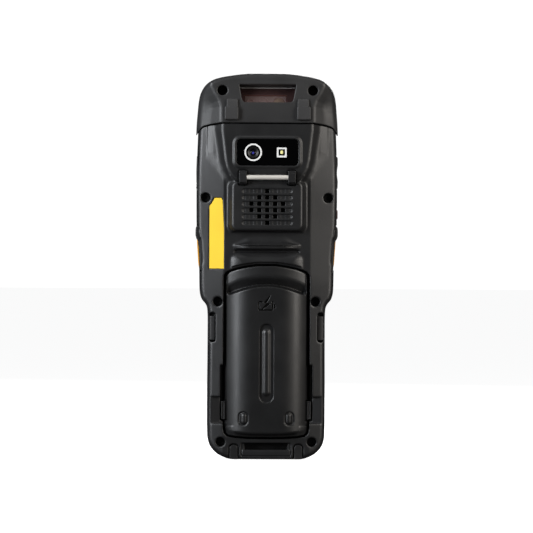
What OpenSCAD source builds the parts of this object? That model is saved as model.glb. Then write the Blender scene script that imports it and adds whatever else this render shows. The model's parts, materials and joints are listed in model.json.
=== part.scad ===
// Portable barcode data terminal, standing on its foot end.
// +Z runs from the foot to the scanning head, -Y is the display and keypad
// side, +Y is the back with the battery. Units are millimetres.

/* [Housing] */
// Wall thickness of the rear housing and head cap
wall = 1.8; // [1.6:0.1:2]
// Wall thickness of the front housing's rim
front_wall = 2.4; // [2.2:0.1:2.6]
// Thickness of the front face plate
face_t = 1.6; // [1.4:0.1:1.7]
// How far the coloured trim band stands out of the sides
trim_proud = 0.2; // [0:0.05:0.3]

/* [Display] */
// Width of the display window
display_w = 58; // [54:1:60]
// Height of the display window
display_h = 95; // [90:1:95]

/* [Keypad] */
// Gap between a key and its hole in the face plate
key_gap = 0.3; // [0.25:0.05:0.4]
// Corner radius of the keys
key_r = 2; // [1:0.5:3]
// How far a key stands out of the face plate
key_rise = 1.3; // [1:0.1:1.4]
// Width of a number key
key_w = 10.6; // [9:0.2:11]
// Height of a number key
key_h = 9; // [7:0.5:9.5]

/* [Loudspeaker grille] */
// Distance between the grooves of the grille
groove_pitch = 3.3; // [3.2:0.1:3.4]
// Height of a groove
groove_h = 2.2; // [1.8:0.1:2.4]
// Length of a groove
groove_l = 26.4; // [24:0.4:28]
// Side of a square sound hole
hole_s = 2; // [1.6:0.1:2.2]
// Distance between sound holes in a groove
hole_pitch = 4.1; // [4:0.1:4.4]

/* [Screws] */
// Radius of a screw's counterbore
bore_r = 2.4; // [2.2:0.1:2.5]
// Radius of a screw's head
head_r = 2.1; // [1.9:0.1:2.1]
// Radius of a screw's shank
shank_r = 0.95; // [0.8:0.05:0.95]

/* [Strap] */
// Radius of the strap bar below the camera
bar_r = 1.25; // [1:0.05:1.3]
// Width of the strap channel in the foot
strap_w = 22.6; // [20:0.2:23]

/* [Battery] */
// Gap round the battery pack
battery_gap = 0.45; // [0.4:0.05:0.5]
// How fast the pack's back falls away towards its sides
battery_crown = 0.027; // [0.024:0.001:0.028]
// Height of the battery cell
cell_h = 60; // [50:1:60]

/* [Hidden] */
$fn = 48;

body_l = 200.4;
seam_y = -3;        // parting plane of the front and rear housings
face_y = -14;       // front face
hump_y = 12.5;      // camera hump
block_y = 13;       // loudspeaker block
cap_y = 13.5;       // middle of the head cap
floor_y = 0;        // floor of the battery bay
tilt = 40;          // the scan window leans back by this angle

// Half outlines are [half width, height] pairs from head to foot.
BODY = [[9.4, 199.8], [19, 198.7], [24.2, 197.7], [27.7, 196.6], [31, 194.6],
  [32.9, 192.5], [34.3, 189.6], [35.1, 185.6], [35.5, 181], [35.8, 175],
  [36, 168], [36.3, 160], [36.6, 147], [36.6, 129], [36.5, 121.5], [36.1, 115],
  [35.8, 110], [35.4, 104], [35, 96], [34.8, 88], [34.4, 85.2], [33.5, 82.9],
  [32, 81.1], [31, 79.3], [30.6, 76.5], [30.5, 60], [30.5, 12.5], [30.1, 9.6],
  [29.2, 7.1], [27.6, 4.8], [25.5, 2.9], [23, 1.5], [20, 0.4], [16, 0]];
CAP = [[9.4, 200.4], [19.1, 199.3], [24.5, 198.3], [28, 197.2], [31.3, 195.2],
  [33.2, 193.1], [34.8, 190], [35.7, 186], [36.2, 181], [36.7, 175], [37, 169], [37, 160]];
PACK = [[5, 100.7], [10, 100], [15, 99], [19, 97.7], [20.9, 96.7], [21.7, 95.2],
  [21.8, 93], [21.8, 16], [21.3, 13.8], [19.8, 12.5], [16, 11.9], [8, 11.4]];
HUMP = [[24.2, 176], [24, 168], [23, 159], [21.2, 152], [18.6, 145.8], [17.4, 143.2]];
LABEL = [[27.4, 136], [23.9, 136], [23.2, 134.8], [22.5, 120], [22.5, 99],
  [30, 99], [30, 131.8], [28.7, 133.4]];

SCREWS = [[31.9, 136], [25.4, 82], [23.7, 9]];   // right-hand side, mirrored
SCREW_HEAD_Y = [3.6, 4.6, 4.6];                  // back of each pair's heads
CAP_SCREW = [23.5, 191.6];
BUMPER_X = 18.8;
BAR_Z = 146.5;
BAR_Y = 14;
CAMERA = [7.4, 159.5];
FLASH = [-7.4, 159.5];
COLS = [-19.5, -6.5, 6.5, 19.5];
ROWS = [60, 46.5, 33, 19.5];
HOLES = [1, 3, 5, 5, 3, 1];

function mirrored(h) = concat(h, [for (i = [len(h) - 1:-1:0]) [-h[i][0], h[i][1]]]);
// A whole outline made narrower by dx on each side and shorter by dz at each end
function ring(h, dx, dz, l = body_l) =
  mirrored([for (q = h) [max(q[0] - dx, 0.4), dz + q[1] * (l - 2 * dz) / l]]);
function cap_ring(dx, dz) =
  mirrored([for (q = CAP) [q[0] - dx * (q[0] > 20 ? 1 : 0.5), q[1] - dz * max(0, (q[1] - 160) / 40.4)]]);
function grow(h, g, zc) =
  mirrored([for (q = h) [q[0] + g, q[1] + (q[1] > zc ? g : -g)]]);
function rr(w, h, r, c = [0, 0], n = 4) =
  [for (q = [0:3]) for (i = [0:n]) let (a = 90 - 90 * q - 90 * i / n)
    [c[0] + (q < 2 ? 1 : -1) * (w / 2 - r) + r * cos(a),
     c[1] + (q == 0 || q == 3 ? 1 : -1) * (h / 2 - r) + r * sin(a)]];

// A plate of outline p in the XZ plane, from y0 to y1
module slab(p, y0, y1)
  translate([0, y1, 0]) rotate([90, 0, 0]) linear_extrude(height = y1 - y0) polygon(p);

// A body through outlines: each entry is [y, outline], with y rising
module loft(s) {
  n = len(s[0][1]);
  polyhedron(
    points = [for (k = s) for (q = k[1]) [q[0], k[0], q[1]]],
    faces = concat(
      [[for (i = [0:n - 1]) i]],
      [for (k = [0:len(s) - 2]) for (i = [0:n - 1])
        [k * n + i, (k + 1) * n + i, (k + 1) * n + (i + 1) % n, k * n + (i + 1) % n]],
      [[for (i = [n - 1:-1:0]) (len(s) - 1) * n + i]]));
}
module box(a, b) translate(a) cube(b - a);
// A bar along X whose section is the polygon p in the YZ plane
module across(p, x0, x1) translate([x0, 0, 0]) rotate([90, 0, 90]) linear_extrude(height = x1 - x0) polygon(p);
module both() { children(); mirror([1, 0, 0]) children(); }
module rod_y(x, z, r, y0, y1) translate([x, y1, z]) rotate([90, 0, 0]) cylinder(h = y1 - y0, r = r);
module in_window() translate([0, cap_y, 185.8]) rotate([tilt, 0, 0]) children();

// ---------- moulded shells ----------

module front_housing() color([0.13, 0.13, 0.14]) difference() {
  union() {
    difference() {
      loft([[face_y, ring(BODY, 3, 1.6)], [face_y + 0.6, ring(BODY, 1.6, 0.9)],
        [face_y + 2, ring(BODY, 0.6, 0.3)], [-9, ring(BODY, 0, 0)], [seam_y, ring(BODY, 0, 0)]]);
      slab(ring(BODY, front_wall, front_wall), face_y + face_t, seam_y + 1);
    }
    both() for (s = SCREWS) rod_y(s[0], s[1], 2.4, face_y + face_t - 0.2, seam_y - 0.6);
    both() rod_y(CAP_SCREW[0], CAP_SCREW[1], 2.4, face_y + face_t - 0.2, seam_y - 0.6);
    // ribs that carry the boards
    for (z = [93.6, 190.6]) box([-27, face_y + face_t - 0.2, z - 0.6], [27, -9.2, z + 0.6]);
  }
  // screw holes
  both() for (s = SCREWS) rod_y(s[0], s[1], 1, -11.6, 1);
  both() rod_y(CAP_SCREW[0], CAP_SCREW[1], 1, -11.6, 1);
  // display window rebate and opening
  slab(rr(display_w + 0.4, display_h + 0.4, 3, [0, 142.5]), face_y - 1, face_y + 1.2);
  slab(rr(53, 87.6, 1, [0, 142]), face_y - 1, face_y + face_t + 1);
  // key holes
  for (k = [0:22]) let (q = key_of(k))
    slab(rr(q[2] + 2 * key_gap, q[3] + 2 * key_gap, key_r + key_gap, [q[0], q[1]]), face_y - 1, face_y + face_t + 1);
  // groove of the trim band
  difference() {
    slab(ring(BODY, -2, -2), -7.6, -4.9);
    slab(ring(BODY, 1.2, 1.2), -8, -4);
  }
  // groove of the gasket
  difference() {
    slab(ring(BODY, 0.8, 0.8), seam_y - 0.6, seam_y + 1);
    slab(ring(BODY, 1.7, 1.7), seam_y - 1, seam_y + 2);
  }
  // earpiece slots and microphone
  for (x = [-6:3:6]) box([x - 0.9, face_y - 1, 194.2], [x + 0.9, face_y + 3, 195.2]);
  rod_y(0, 9, 0.6, face_y - 1, face_y + 3);
  // dock connector opening in the foot
  box([-10.2, -10.6, -1], [10.2, -7.9, 3]);
}

module rear_outer() {
  difference() {
    loft([[seam_y, ring(BODY, 0.1, 0)], [2, ring(BODY, 0.1, 0)], [4.6, ring(BODY, 0.6, 0.3)],
      [6.4, ring(BODY, 1.8, 0.9)], [7.6, ring(BODY, 3.4, 2)], [8.2, ring(BODY, 5.6, 4)]]);
    // the head cap's seam
    slab([[-24, 174.4], [24, 174.4], [33.4, 172.8], [35.7, 170.9], [37.2, 168.6], [40, 168.6],
      [40, 210], [-40, 210], [-40, 168.6], [-37.2, 168.6], [-35.7, 170.9], [-33.4, 172.8]], seam_y - 1, 20);
  }
  intersection() {
    loft([[4, ring(HUMP, -4.6, 0)], [8, ring(HUMP, -3, 0)], [11.2, ring(HUMP, -0.6, 0)], [hump_y, ring(HUMP, 0.4, 0)]]);
    box([-40, 0, 143.2], [40, 20, 174.4]);
  }
  loft([[4, rr(42, 28.4, 4, [0, 131])], [8, rr(39.8, 26.4, 3.4, [0, 131])],
    [block_y - 1, rr(37, 25, 3, [0, 131])], [block_y, rr(35.4, 23.4, 2.4, [0, 131])]]);
  // finger ridges between the loudspeaker and the battery
  for (q = [[110.6, 18], [103.6, 18.4]])
    translate([-q[1], 5.4, q[0]]) rotate([0, 90, 0]) cylinder(h = 2 * q[1], r = 4.9);
  // camera bezel
  slab(rr(35.6, 16, 3.4, [0, 159.5]), 10, hump_y + 0.7);
  // bar of the strap channel in the foot
  box([-12.6, 5, 1.8], [12.6, 8.3, 5]);
}

module rear_housing() color([0.12, 0.12, 0.13]) difference() {
  union() {
    difference() {
      rear_outer();
      // inside, less the battery bay and the strap channel
      difference() {
        union() {
          loft([[seam_y - 1, ring(BODY, wall, wall)], [2, ring(BODY, wall, wall)],
            [4.4, ring(BODY, wall + 1.4, wall + 1)], [5.8, ring(BODY, wall + 3.4, wall + 2.4)]]);
          loft([[3, ring(HUMP, -2, 0)], [8, ring(HUMP, 0.4, 0)], [hump_y - wall, ring(HUMP, 2.4, 0)]]);
          slab(rr(33, 21.6, 2, [0, 131]), 3, block_y - wall);
        }
        slab(grow(PACK, battery_gap + 1.4, 50), floor_y - 1.5, 20);
        box([-14, -0.6, -1], [14, 20, 12]);
        box([-40, 3, 168], [40, 20, 180]);
        both() for (s = SCREWS) rod_y(s[0], s[1], 3.4, seam_y, 20);
        // walls of the side recesses in the grip
        both() box([23.6, 0.5, 59], [40, 20, 78]);
        both() box([21, 2, 18], [40, 20, 50]);
      }
    }
    both() for (s = SCREWS) rod_y(s[0], s[1], 3.4, seam_y, 3);
  }
  // battery bay
  slab(grow(PACK, battery_gap, 50), floor_y, 20);
  // contact block and card holder openings in the bay's floor
  box([-9.1, -4, 14.9], [9.1, 1, 19.1]);
  box([-13.1, -4, 39.9], [13.1, 1, 57.1]);
  // counterbores and screw holes
  both() for (i = [0:2]) {
    rod_y(SCREWS[i][0], SCREWS[i][1], bore_r, SCREW_HEAD_Y[i] - 2.2, 20);
    rod_y(SCREWS[i][0], SCREWS[i][1], 1.15, seam_y - 1, 4);
  }
  // camera window rebate with the openings of lens and flash
  slab(rr(32.2, 13.7, 2.4, [0, 159.5]), 11.5, 20);
  rod_y(CAMERA[0], CAMERA[1], 4.1, 0, 20);
  rod_y(FLASH[0], FLASH[1], 2.4, 0, 20);
  // strap channel behind the bar, with its lug pockets
  box([-10.4, 11, 142.8], [10.4, 20, 150.3]);
  both() box([10.3, 9.4, 142.3], [15, 20, 150.3]);
  // loudspeaker grille
  for (r = [0:5]) let (z = 131.2 + (2.5 - r) * groove_pitch) {
    box([-groove_l / 2, block_y - 0.7, z - groove_h / 2], [groove_l / 2, 20, z + groove_h / 2]);
    for (c = [0:HOLES[r] - 1]) let (x = (c - (HOLES[r] - 1) / 2) * hole_pitch)
      box([x - hole_s / 2, 9, z - hole_s / 2], [x + hole_s / 2, 20, z + hole_s / 2]);
  }
  // label recess on the wing
  slab(LABEL, 7.3, 20);
  // strap channel and guide pockets in the foot
  box([-strap_w / 2, 1.2, -1], [strap_w / 2, 5.9, 8.4]);
  box([-strap_w / 2, 5, 5], [strap_w / 2, 20, 8.4]);
  both() slab(rr(5, 8, 2.4, [16.8, 3.3]), 6.6, 20);
  // side recesses of the grip
  both() slab(rr(6.4, 15.4, 1.8, [29.4, 68.4]), 4, 20);
  both() box([22.7, 7, 19.6], [40, 20, 32.3]);
  both() box([20, 3.4, 20], [23.9, 20, 31]);
  both() box([20, 3.4, 30.9], [24, 20, 49]);
  // openings of the side keys and the port
  both() box([33, -2.2, 98.6], [40, 4.6, 121.8]);
  both() box([31.2, -2.9, 97.4], [34.9, 5.4, 123]);
  box([-40, -1.8, 140], [-33.4, 3.4, 158.4]);
  box([-40, -1.8, 124.2], [-33.4, 3.4, 130.8]);
  box([35.2, -2.2, 140], [40, 4.2, 158.4]);
  box([33, -1.2, 145.6], [40, 2.6, 155.4]);
}

// The region of the head cap, above its seam and g higher
module above_seam(g = 0)
  slab([[-24, 174.7 + g], [24, 174.7 + g], [33.4, 173.1 + g], [35.7, 171.2 + g], [37.3, 168.9 + g],
    [42, 168.9 + g], [42, 212], [-42, 212], [-42, 168.9 + g], [-37.3, 168.9 + g],
    [-35.7, 171.2 + g], [-33.4, 173.1 + g]], -8, 24);

module top_cap() color([0.19, 0.19, 0.2]) difference() {
  union() {
    intersection() {
      loft([[seam_y, cap_ring(0, 0)], [3, cap_ring(0, 0.2)], [7, cap_ring(0.8, 1.6)],
        [8.6, cap_ring(2.4, 3)], [9.6, cap_ring(4.6, 5)]]);
      above_seam();
    }
    // raised middle, wider beside the screws
    slab(mirrored([[9.4, 199.4], [19, 198.2], [24, 197], [28, 195.4], [28.6, 193], [27.4, 190],
      [25.4, 186.4], [24.6, 182.5], [24.6, 175]]), 7.6, cap_y - 1.2);
    slab(mirrored([[9.4, 198.4], [19, 197.2], [23.6, 196], [26.8, 194.6], [27.2, 192.8], [26, 190],
      [24, 186.4], [23, 182], [23, 175.4]]), 8, cap_y);
  }
  // inside, less the seat of the scan window and the screw posts
  difference() {
    union() {
      loft([[seam_y - 1, cap_ring(wall, wall)], [3, cap_ring(wall, wall)],
        [6, cap_ring(wall + 0.8, wall + 1.6)], [8.2, cap_ring(wall + 3, wall + 5)]]);
      slab(mirrored([[19, 186.4], [21.4, 185.4], [20.8, 180], [20.8, 170]]), 6, cap_y - 2);
    }
    in_window() box([-17.8, -4.2, -2], [17.8, 30, 20]);
    both() rod_y(CAP_SCREW[0], CAP_SCREW[1], 3.4, -3.5, 20);
    box([-19, -3.5, 195.8], [19, 20, 210]);
  }
  // sloping recess and seat of the scan window
  intersection() {
    in_window() translate([0, -1.2, 0]) rotate([90, 0, 0]) mirror([0, 0, 1])
      linear_extrude(height = 30) polygon(mirrored([[15.9, 14.6], [15.2, 9.2], [13.4, 0]]));
    across([[0, 180], [0, 190.2], [6.4, 192.6], [13.5, 195.3], [20, 197.6], [20, 180]], -20, 20);
  }
  in_window() {
    box([-15.6, -2.6, -0.2], [15.6, -1.1, 9.6]);
    box([-13.4, -8, 0.8], [13.4, -1.1, 8.8]);
  }
  both() rod_y(CAP_SCREW[0], CAP_SCREW[1], bore_r, 2.2, 20);
  both() rod_y(CAP_SCREW[0], CAP_SCREW[1], 1.15, -10, 20);
}

module trim_band() color([0.85, 0.55, 0.08]) difference() {
  slab([for (q = ring(BODY, 0, 0)) [q[0] + sign(q[0]) * trim_proud, q[1]]], -7.5, -5);
  slab(ring(BODY, 1.1, 1.1), -8, -4);
}

module housing_gasket() color([0.05, 0.05, 0.05]) difference() {
  slab(ring(BODY, 0.9, 0.9), seam_y - 0.55, seam_y - 0.05);
  slab(ring(BODY, 1.6, 1.6), seam_y - 1, seam_y + 1);
}

module screw(x, z, y, tip) difference() {
  union() {
    rod_y(x, z, head_r, y - 2.1, y);
    rod_y(x, z, shank_r, tip, y - 2);
  }
  translate([x, y + 1, z]) rotate([90, 0, 0]) cylinder(h = 2.2, r = 1.15, $fn = 6);
}
module housing_screws() color([0.07, 0.07, 0.08]) both() for (i = [0:2])
  screw(SCREWS[i][0], SCREWS[i][1], SCREW_HEAD_Y[i], -11.2);
module cap_screws() color([0.07, 0.07, 0.08]) both()
  screw(CAP_SCREW[0], CAP_SCREW[1], 4.4, -11.2);

module cap_bumpers() color([0.16, 0.16, 0.17]) both() {
  slab(rr(7, 7.2, 0.8, [BUMPER_X, 179.6]), cap_y, 15.5);
  slab(rr(5.8, 5.4, 0.6, [BUMPER_X - 0.4, 184.6]), cap_y, 14.6);
}

// ---------- scanning, camera and sound ----------

module scan_window() color([0.35, 0.1, 0.07, 0.6])
  in_window() translate([0, -2.5, 0]) rotate([90, 0, 0]) mirror([0, 0, 1])
    linear_extrude(height = 1.1) polygon(mirrored([[15.4, 9.4], [13.8, 0]]));

module scan_engine() color([0.3, 0.17, 0.13]) in_window() difference() {
  union() {
    box([-11.1, -12, -1], [11.1, -4.6, 8.4]);
    box([-13, -12, -1], [13, -10.6, 4]);
  }
  for (q = [[9, 1.4], [1.9, 2.3], [-6.2, 3]])
    translate([q[0], -4.4, 3.8]) rotate([90, 0, 0]) cylinder(h = 1.4, r = q[1]);
}

module camera_window() color([0.02, 0.02, 0.025]) difference() {
  slab(rr(32, 13.5, 2.3, [0, 159.5]), 11.6, 12.8);
  rod_y(CAMERA[0], CAMERA[1], 3.3, 11, 12.1);
  rod_y(FLASH[0], FLASH[1], 1.7, 11, 12.1);
}
module camera_module() color([0.1, 0.1, 0.13]) {
  rod_y(CAMERA[0], CAMERA[1], 3.2, 6.4, 12);
  box([CAMERA[0] - 4, 3.6, CAMERA[1] - 4], [CAMERA[0] + 4, 6.4, CAMERA[1] + 4]);
}
module flash_led() color([0.95, 0.9, 0.6]) {
  box([FLASH[0] - 1.1, 9, FLASH[1] - 1.1], [FLASH[0] + 1.1, 12, FLASH[1] + 1.1]);
  box([FLASH[0] - 3, 7.8, FLASH[1] - 3], [FLASH[0] + 3, 9, FLASH[1] + 3]);
}
module loudspeaker() color([0.2, 0.2, 0.2]) {
  rod_y(0, 131, 9.6, 4.6, 7.4);
  rod_y(0, 131, 7, 3, 4.6);
  slab(rr(22, 20, 2, [0, 131]), 7.4, 8.6);
}
module speaker_mesh() color([0.05, 0.05, 0.05]) slab(rr(22, 20, 2, [0, 131]), 8.7, 8.95);

module strap_bar() color([0.78, 0.75, 0.7])
  translate([-14.2, BAR_Y, BAR_Z]) rotate([0, 90, 0]) cylinder(h = 28.4, r = bar_r);
module strap_lugs() color([0.1, 0.1, 0.1]) both() difference() {
  union() {
    slab(rr(4.3, 7.6, 0.8, [12.75, 146.3]), 9.5, 15.2);
    slab(rr(3.4, 5, 0.6, [12.75, 146.3]), 9.5, 15.4);
  }
  translate([10, BAR_Y, BAR_Z]) rotate([0, 90, 0]) cylinder(h = 4.3, r = bar_r + 0.05);
}
module label_plate() color([0.98, 0.8, 0.18])
  slab([for (q = LABEL) [q[0] + (q[0] > 26 ? -0.15 : 0.15), q[1] + (q[1] > 118 ? -0.15 : 0.15)]], 7.3, 7.55);

// ---------- display and boards ----------

module display_window() color([0.03, 0.03, 0.04])
  slab(rr(display_w, display_h, 2.8, [0, 142.5]), face_y + 0.1, face_y + 1.15);
module display_panel() color([0.08, 0.1, 0.14])
  slab(rr(56, 91, 0.8, [0, 142]), face_y + face_t + 0.1, face_y + face_t + 2.1);
module main_board() color([0.08, 0.3, 0.16]) difference() {
  union() {
    slab(mirrored([[29, 168], [29, 98], [20.5, 92], [20.5, 14]]), -6.2, -5);
    box([-24, -5, 146], [-4, -3, 164]);
    box([2, -5, 146], [24, -3, 164]);
    box([-14, -5, 62], [14, -3.2, 84]);
    box([-18, -5, 104], [18, -3, 114]);
    box([30, -1, 146], [33.6, 2.4, 155]);
    box([26, -5, 148], [29, 0, 153]);
    box([28.5, -1, 148], [31, 0, 153]);
  }
  for (z = [30, 120]) rod_y(0, z, 1.2, -8, -4);
}
module keypad_board() color([0.1, 0.32, 0.2]) difference() {
  slab(rr(54, 79, 2, [0, 52.6]), -10.1, -9.2);
  both() rod_y(SCREWS[1][0], SCREWS[1][1], 2.7, -12, -8);
  for (k = [0:22]) let (q = key_of(k)) rod_y(q[0], q[1], 0.5, -12, -8);
}

// ---------- battery ----------

// The space under the pack's rounded back, which is y high in the middle
module crowned(y) linear_extrude(height = 120) polygon(concat([[22, -5], [-22, -5]],
  [for (x = [-22:1:22]) [x, y - battery_crown * pow(max(abs(x) - 7, 0), 2)]]));
module battery_case() color([0.13, 0.13, 0.14]) difference() {
  intersection() {
    slab(mirrored(PACK), 1.7, 20);
    crowned(13);
  }
  // inside of the case
  intersection() {
    slab(rr(36, 62, 2, [0, 54]), 1, 20);
    crowned(11.6);
  }
  // finger scoop below the head end, undercut towards its lower lip
  across([[11.2, 102], [11.2, 95.4], [8.8, 91.4], [8.8, 90.5], [20, 90.5], [20, 102]], -20.8, 20.8);
  // long groove with its rib, and two thumb dimples
  difference() {
    slab(rr(7, 40.8, 3.4, [0, 50]), 12.3, 20);
    slab(rr(4.2, 35, 2, [0, 50.4]), 12, 12.8);
  }
  both() slab(rr(5.4, 7.8, 2.6, [11.9, 20.6]), 11.2, 20);
  // pockets of the side latches
  both() box([18.6, 3.2, 20.2], [30, 6.9, 30.8]);
}
module battery_tray() color([0.1, 0.1, 0.11]) difference() {
  slab(grow(PACK, -0.5, 50), 0.4, 1.6);
  box([-8, 0, 14], [8, 0.9, 20]);
}
module battery_cell() color([0.35, 0.45, 0.55]) slab(rr(33.4, cell_h, 1, [0, 54]), 1.9, 8.4);
module battery_terminals() color([0.85, 0.68, 0.3])
  for (x = [-6:3:6]) box([x - 0.9, 0.45, 15], [x + 0.9, 0.85, 19]);
module latch() {
  box([19.7, 3.6, 20.6], [21.5, 6.5, 30.4]);
  slab([[21.5, 29.9], [23.2, 29.4], [23.2, 21.6], [21.5, 21.1]], 4.2, 6.5);
}
module battery_latch_left() color([0.17, 0.17, 0.18]) mirror([1, 0, 0]) latch();
module battery_latch_right() color([0.17, 0.17, 0.18]) latch();
module battery_contacts() color([0.75, 0.6, 0.25]) {
  box([-9, -1.6, 15], [9, -0.6, 19]);
  for (x = [-6:3:6]) box([x - 0.6, -0.6, 16], [x + 0.6, 0.05, 18]);
}
module card_holder() color([0.6, 0.6, 0.62]) difference() {
  box([-13, -1.5, 40], [13, -0.1, 57]);
  box([-11.6, -1, 41.4], [11.6, 0.1, 55.6]);
}
module dock_connector() color([0.1, 0.1, 0.1]) difference() {
  union() {
    box([-10, -10.5, 0.3], [10, -8, 2.4]);
    box([-12, -11.4, 2.5], [12, -7.6, 4.6]);
    box([-10, -10.5, 2.3], [10, -8, 2.6]);
  }
  for (x = [-8:2:8]) box([x - 0.6, -10, 0], [x + 0.6, -8.5, 1.2]);
}

// ---------- keys on the sides, the port flap and grip inserts ----------

module trigger() {
  slab([[34.2, 121.5], [36.4, 121.5], [37, 120.4], [37.1, 119], [37.1, 116], [36.7, 114.4],
    [36, 113.2], [35.6, 109], [35.3, 103.6], [35, 99.6], [34.4, 98.9], [34.2, 98.9]], -1.9, 4.3);
  box([33, -2.6, 98.1], [34.3, 5.1, 122.3]);
}
module trigger_left() color([0.16, 0.16, 0.17]) mirror([1, 0, 0]) trigger();
module trigger_right() color([0.16, 0.16, 0.17]) trigger();

module volume_rocker() color([0.16, 0.16, 0.17]) {
  slab([[-35, 157.8], [-36.5, 157.8], [-36.9, 157], [-37, 153.6], [-36.6, 149.9],
    [-36.6, 148.5], [-37, 144.8], [-36.9, 141.4], [-36.5, 140.6], [-35, 140.6]], -1.3, 2.9);
  translate([-34.9, -1.3, 149.2]) rotate([-90, 0, 0]) cylinder(h = 4.2, r = 1);
}
module power_key() color([0.5, 0.1, 0.08]) {
  slab([[-34.2, 130.3], [-36.6, 130.3], [-37, 129.4], [-37, 125.6], [-36.6, 124.7], [-34.2, 124.7]], -1.3, 2.9);
}
module port_cover() color([0.09, 0.09, 0.09]) {
  slab([[35.5, 158], [36.4, 158], [36.7, 157.4], [36.9, 150], [36.8, 142], [35.5, 142]], -1.8, 3.8);
  translate([36.1, -1.8, 141.3]) rotate([-90, 0, 0]) cylinder(h = 5.6, r = 0.8);
  box([35.5, -1.8, 141.3], [36.7, 3.8, 142.2]);
}
module grip_inserts() color([0.2, 0.2, 0.21]) both() intersection() {
  translate([28.3, 4.1, 61.4]) cylinder(h = 14, r = 1.9);
  box([20, 4.05, 60], [40, 20, 80]);
}

// ---------- keys of the front ----------

// [x, z, width, height] of key k
function key_of(k) =
  k < 4 ? [-18 + 12 * k, 88.5, 9.6, 6.4] :
  k == 4 ? [-20, 73.5, 11, 9] : k == 5 ? [0, 73.5, 24, 11] : k == 6 ? [20, 73.5, 11, 9] :
  let (c = (k - 7) % 4, r = floor((k - 7) / 4)) [COLS[c], ROWS[r], key_w, key_h];
module key(k, rise = key_rise) {
  q = key_of(k);
  c = [q[0], q[1]];
  slab(rr(q[2], q[3], key_r, c), face_y - rise + 0.4, face_y + face_t + 0.5);
  slab(rr(q[2] - 0.8, q[3] - 0.8, key_r - 0.4, c), face_y - rise, face_y - rise + 0.6);
  slab(rr(q[2] + 1.2, q[3] + 1.2, key_r + 0.6, c), face_y + face_t + 0.3, face_y + face_t + 1.1);
}
module key_soft_1() color([0.2, 0.2, 0.21]) key(0);
module key_soft_2() color([0.2, 0.2, 0.21]) key(1);
module key_soft_3() color([0.2, 0.2, 0.21]) key(2);
module key_soft_4() color([0.2, 0.2, 0.21]) key(3);
module key_back() color([0.25, 0.25, 0.26]) key(4);
module key_scan() color([0.9, 0.6, 0.1]) key(5, 1.5);
module key_enter() color([0.25, 0.25, 0.26]) key(6);
module key_1() color([0.2, 0.2, 0.21]) key(7);
module key_2() color([0.2, 0.2, 0.21]) key(8);
module key_3() color([0.2, 0.2, 0.21]) key(9);
module key_up() color([0.25, 0.25, 0.26]) key(10);
module key_4() color([0.2, 0.2, 0.21]) key(11);
module key_5() color([0.2, 0.2, 0.21]) key(12);
module key_6() color([0.2, 0.2, 0.21]) key(13);
module key_down() color([0.25, 0.25, 0.26]) key(14);
module key_7() color([0.2, 0.2, 0.21]) key(15);
module key_8() color([0.2, 0.2, 0.21]) key(16);
module key_9() color([0.2, 0.2, 0.21]) key(17);
module key_delete() color([0.25, 0.25, 0.26]) key(18);
module key_star() color([0.2, 0.2, 0.21]) key(19);
module key_0() color([0.2, 0.2, 0.21]) key(20);
module key_hash() color([0.2, 0.2, 0.21]) key(21);
module key_shift() color([0.25, 0.25, 0.26]) key(22);

front_housing();
rear_housing();
top_cap();
trim_band();
housing_gasket();
housing_screws();
cap_screws();
cap_bumpers();
scan_window();
scan_engine();
camera_window();
camera_module();
flash_led();
strap_bar();
strap_lugs();
label_plate();
loudspeaker();
speaker_mesh();
display_window();
display_panel();
main_board();
keypad_board();
battery_case();
battery_tray();
battery_cell();
battery_terminals();
battery_latch_left();
battery_latch_right();
battery_contacts();
card_holder();
dock_connector();
trigger_left();
trigger_right();
volume_rocker();
power_key();
port_cover();
grip_inserts();
key_soft_1();
key_soft_2();
key_soft_3();
key_soft_4();
key_back();
key_scan();
key_enter();
key_1();
key_2();
key_3();
key_4();
key_5();
key_6();
key_7();
key_8();
key_9();
key_0();
key_star();
key_hash();
key_up();
key_down();
key_delete();
key_shift();
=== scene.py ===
import json
import math

import bmesh
import bpy
import numpy as np
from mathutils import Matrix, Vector


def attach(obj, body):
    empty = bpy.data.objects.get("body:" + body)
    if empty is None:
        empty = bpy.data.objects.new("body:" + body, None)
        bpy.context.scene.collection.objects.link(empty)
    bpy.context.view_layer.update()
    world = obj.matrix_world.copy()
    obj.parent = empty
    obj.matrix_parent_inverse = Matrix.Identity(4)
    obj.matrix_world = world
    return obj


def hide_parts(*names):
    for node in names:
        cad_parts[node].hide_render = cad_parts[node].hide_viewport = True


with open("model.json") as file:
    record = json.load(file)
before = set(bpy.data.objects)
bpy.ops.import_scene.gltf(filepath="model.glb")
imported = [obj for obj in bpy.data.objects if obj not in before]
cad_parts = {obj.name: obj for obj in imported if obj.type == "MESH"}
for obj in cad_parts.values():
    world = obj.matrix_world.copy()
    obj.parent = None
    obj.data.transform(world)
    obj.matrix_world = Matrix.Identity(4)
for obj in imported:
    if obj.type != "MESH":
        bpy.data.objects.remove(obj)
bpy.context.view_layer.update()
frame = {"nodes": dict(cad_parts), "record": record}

MM = 0.001
N = frame["nodes"]

# ------------------------------------------------------------------ shape kit
# Shapes are signed distances in millimetres, negative inside, on a grid whose
# lines may be closer together where there is fine detail.


def axis(*runs):
    """Grid lines: runs of (start, end, spacing) that follow each other."""
    out = []
    for a, b, h in runs:
        n = max(1, int(round((b - a) / h)))
        out.append(np.linspace(a, b, n, endpoint=False))
    out.append(np.array([runs[-1][1]]))
    return np.concatenate(out).astype(np.float32)


def rmin(a, b, r):
    """Union with a concave fillet of radius r."""
    return np.maximum(r, np.minimum(a, b)) - np.hypot(np.maximum(r - a, 0), np.maximum(r - b, 0))


def rmax(a, b, r):
    """Intersection with a rounded edge of radius r."""
    return np.minimum(-r, np.maximum(a, b)) + np.hypot(np.maximum(r + a, 0), np.maximum(r + b, 0))


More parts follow.
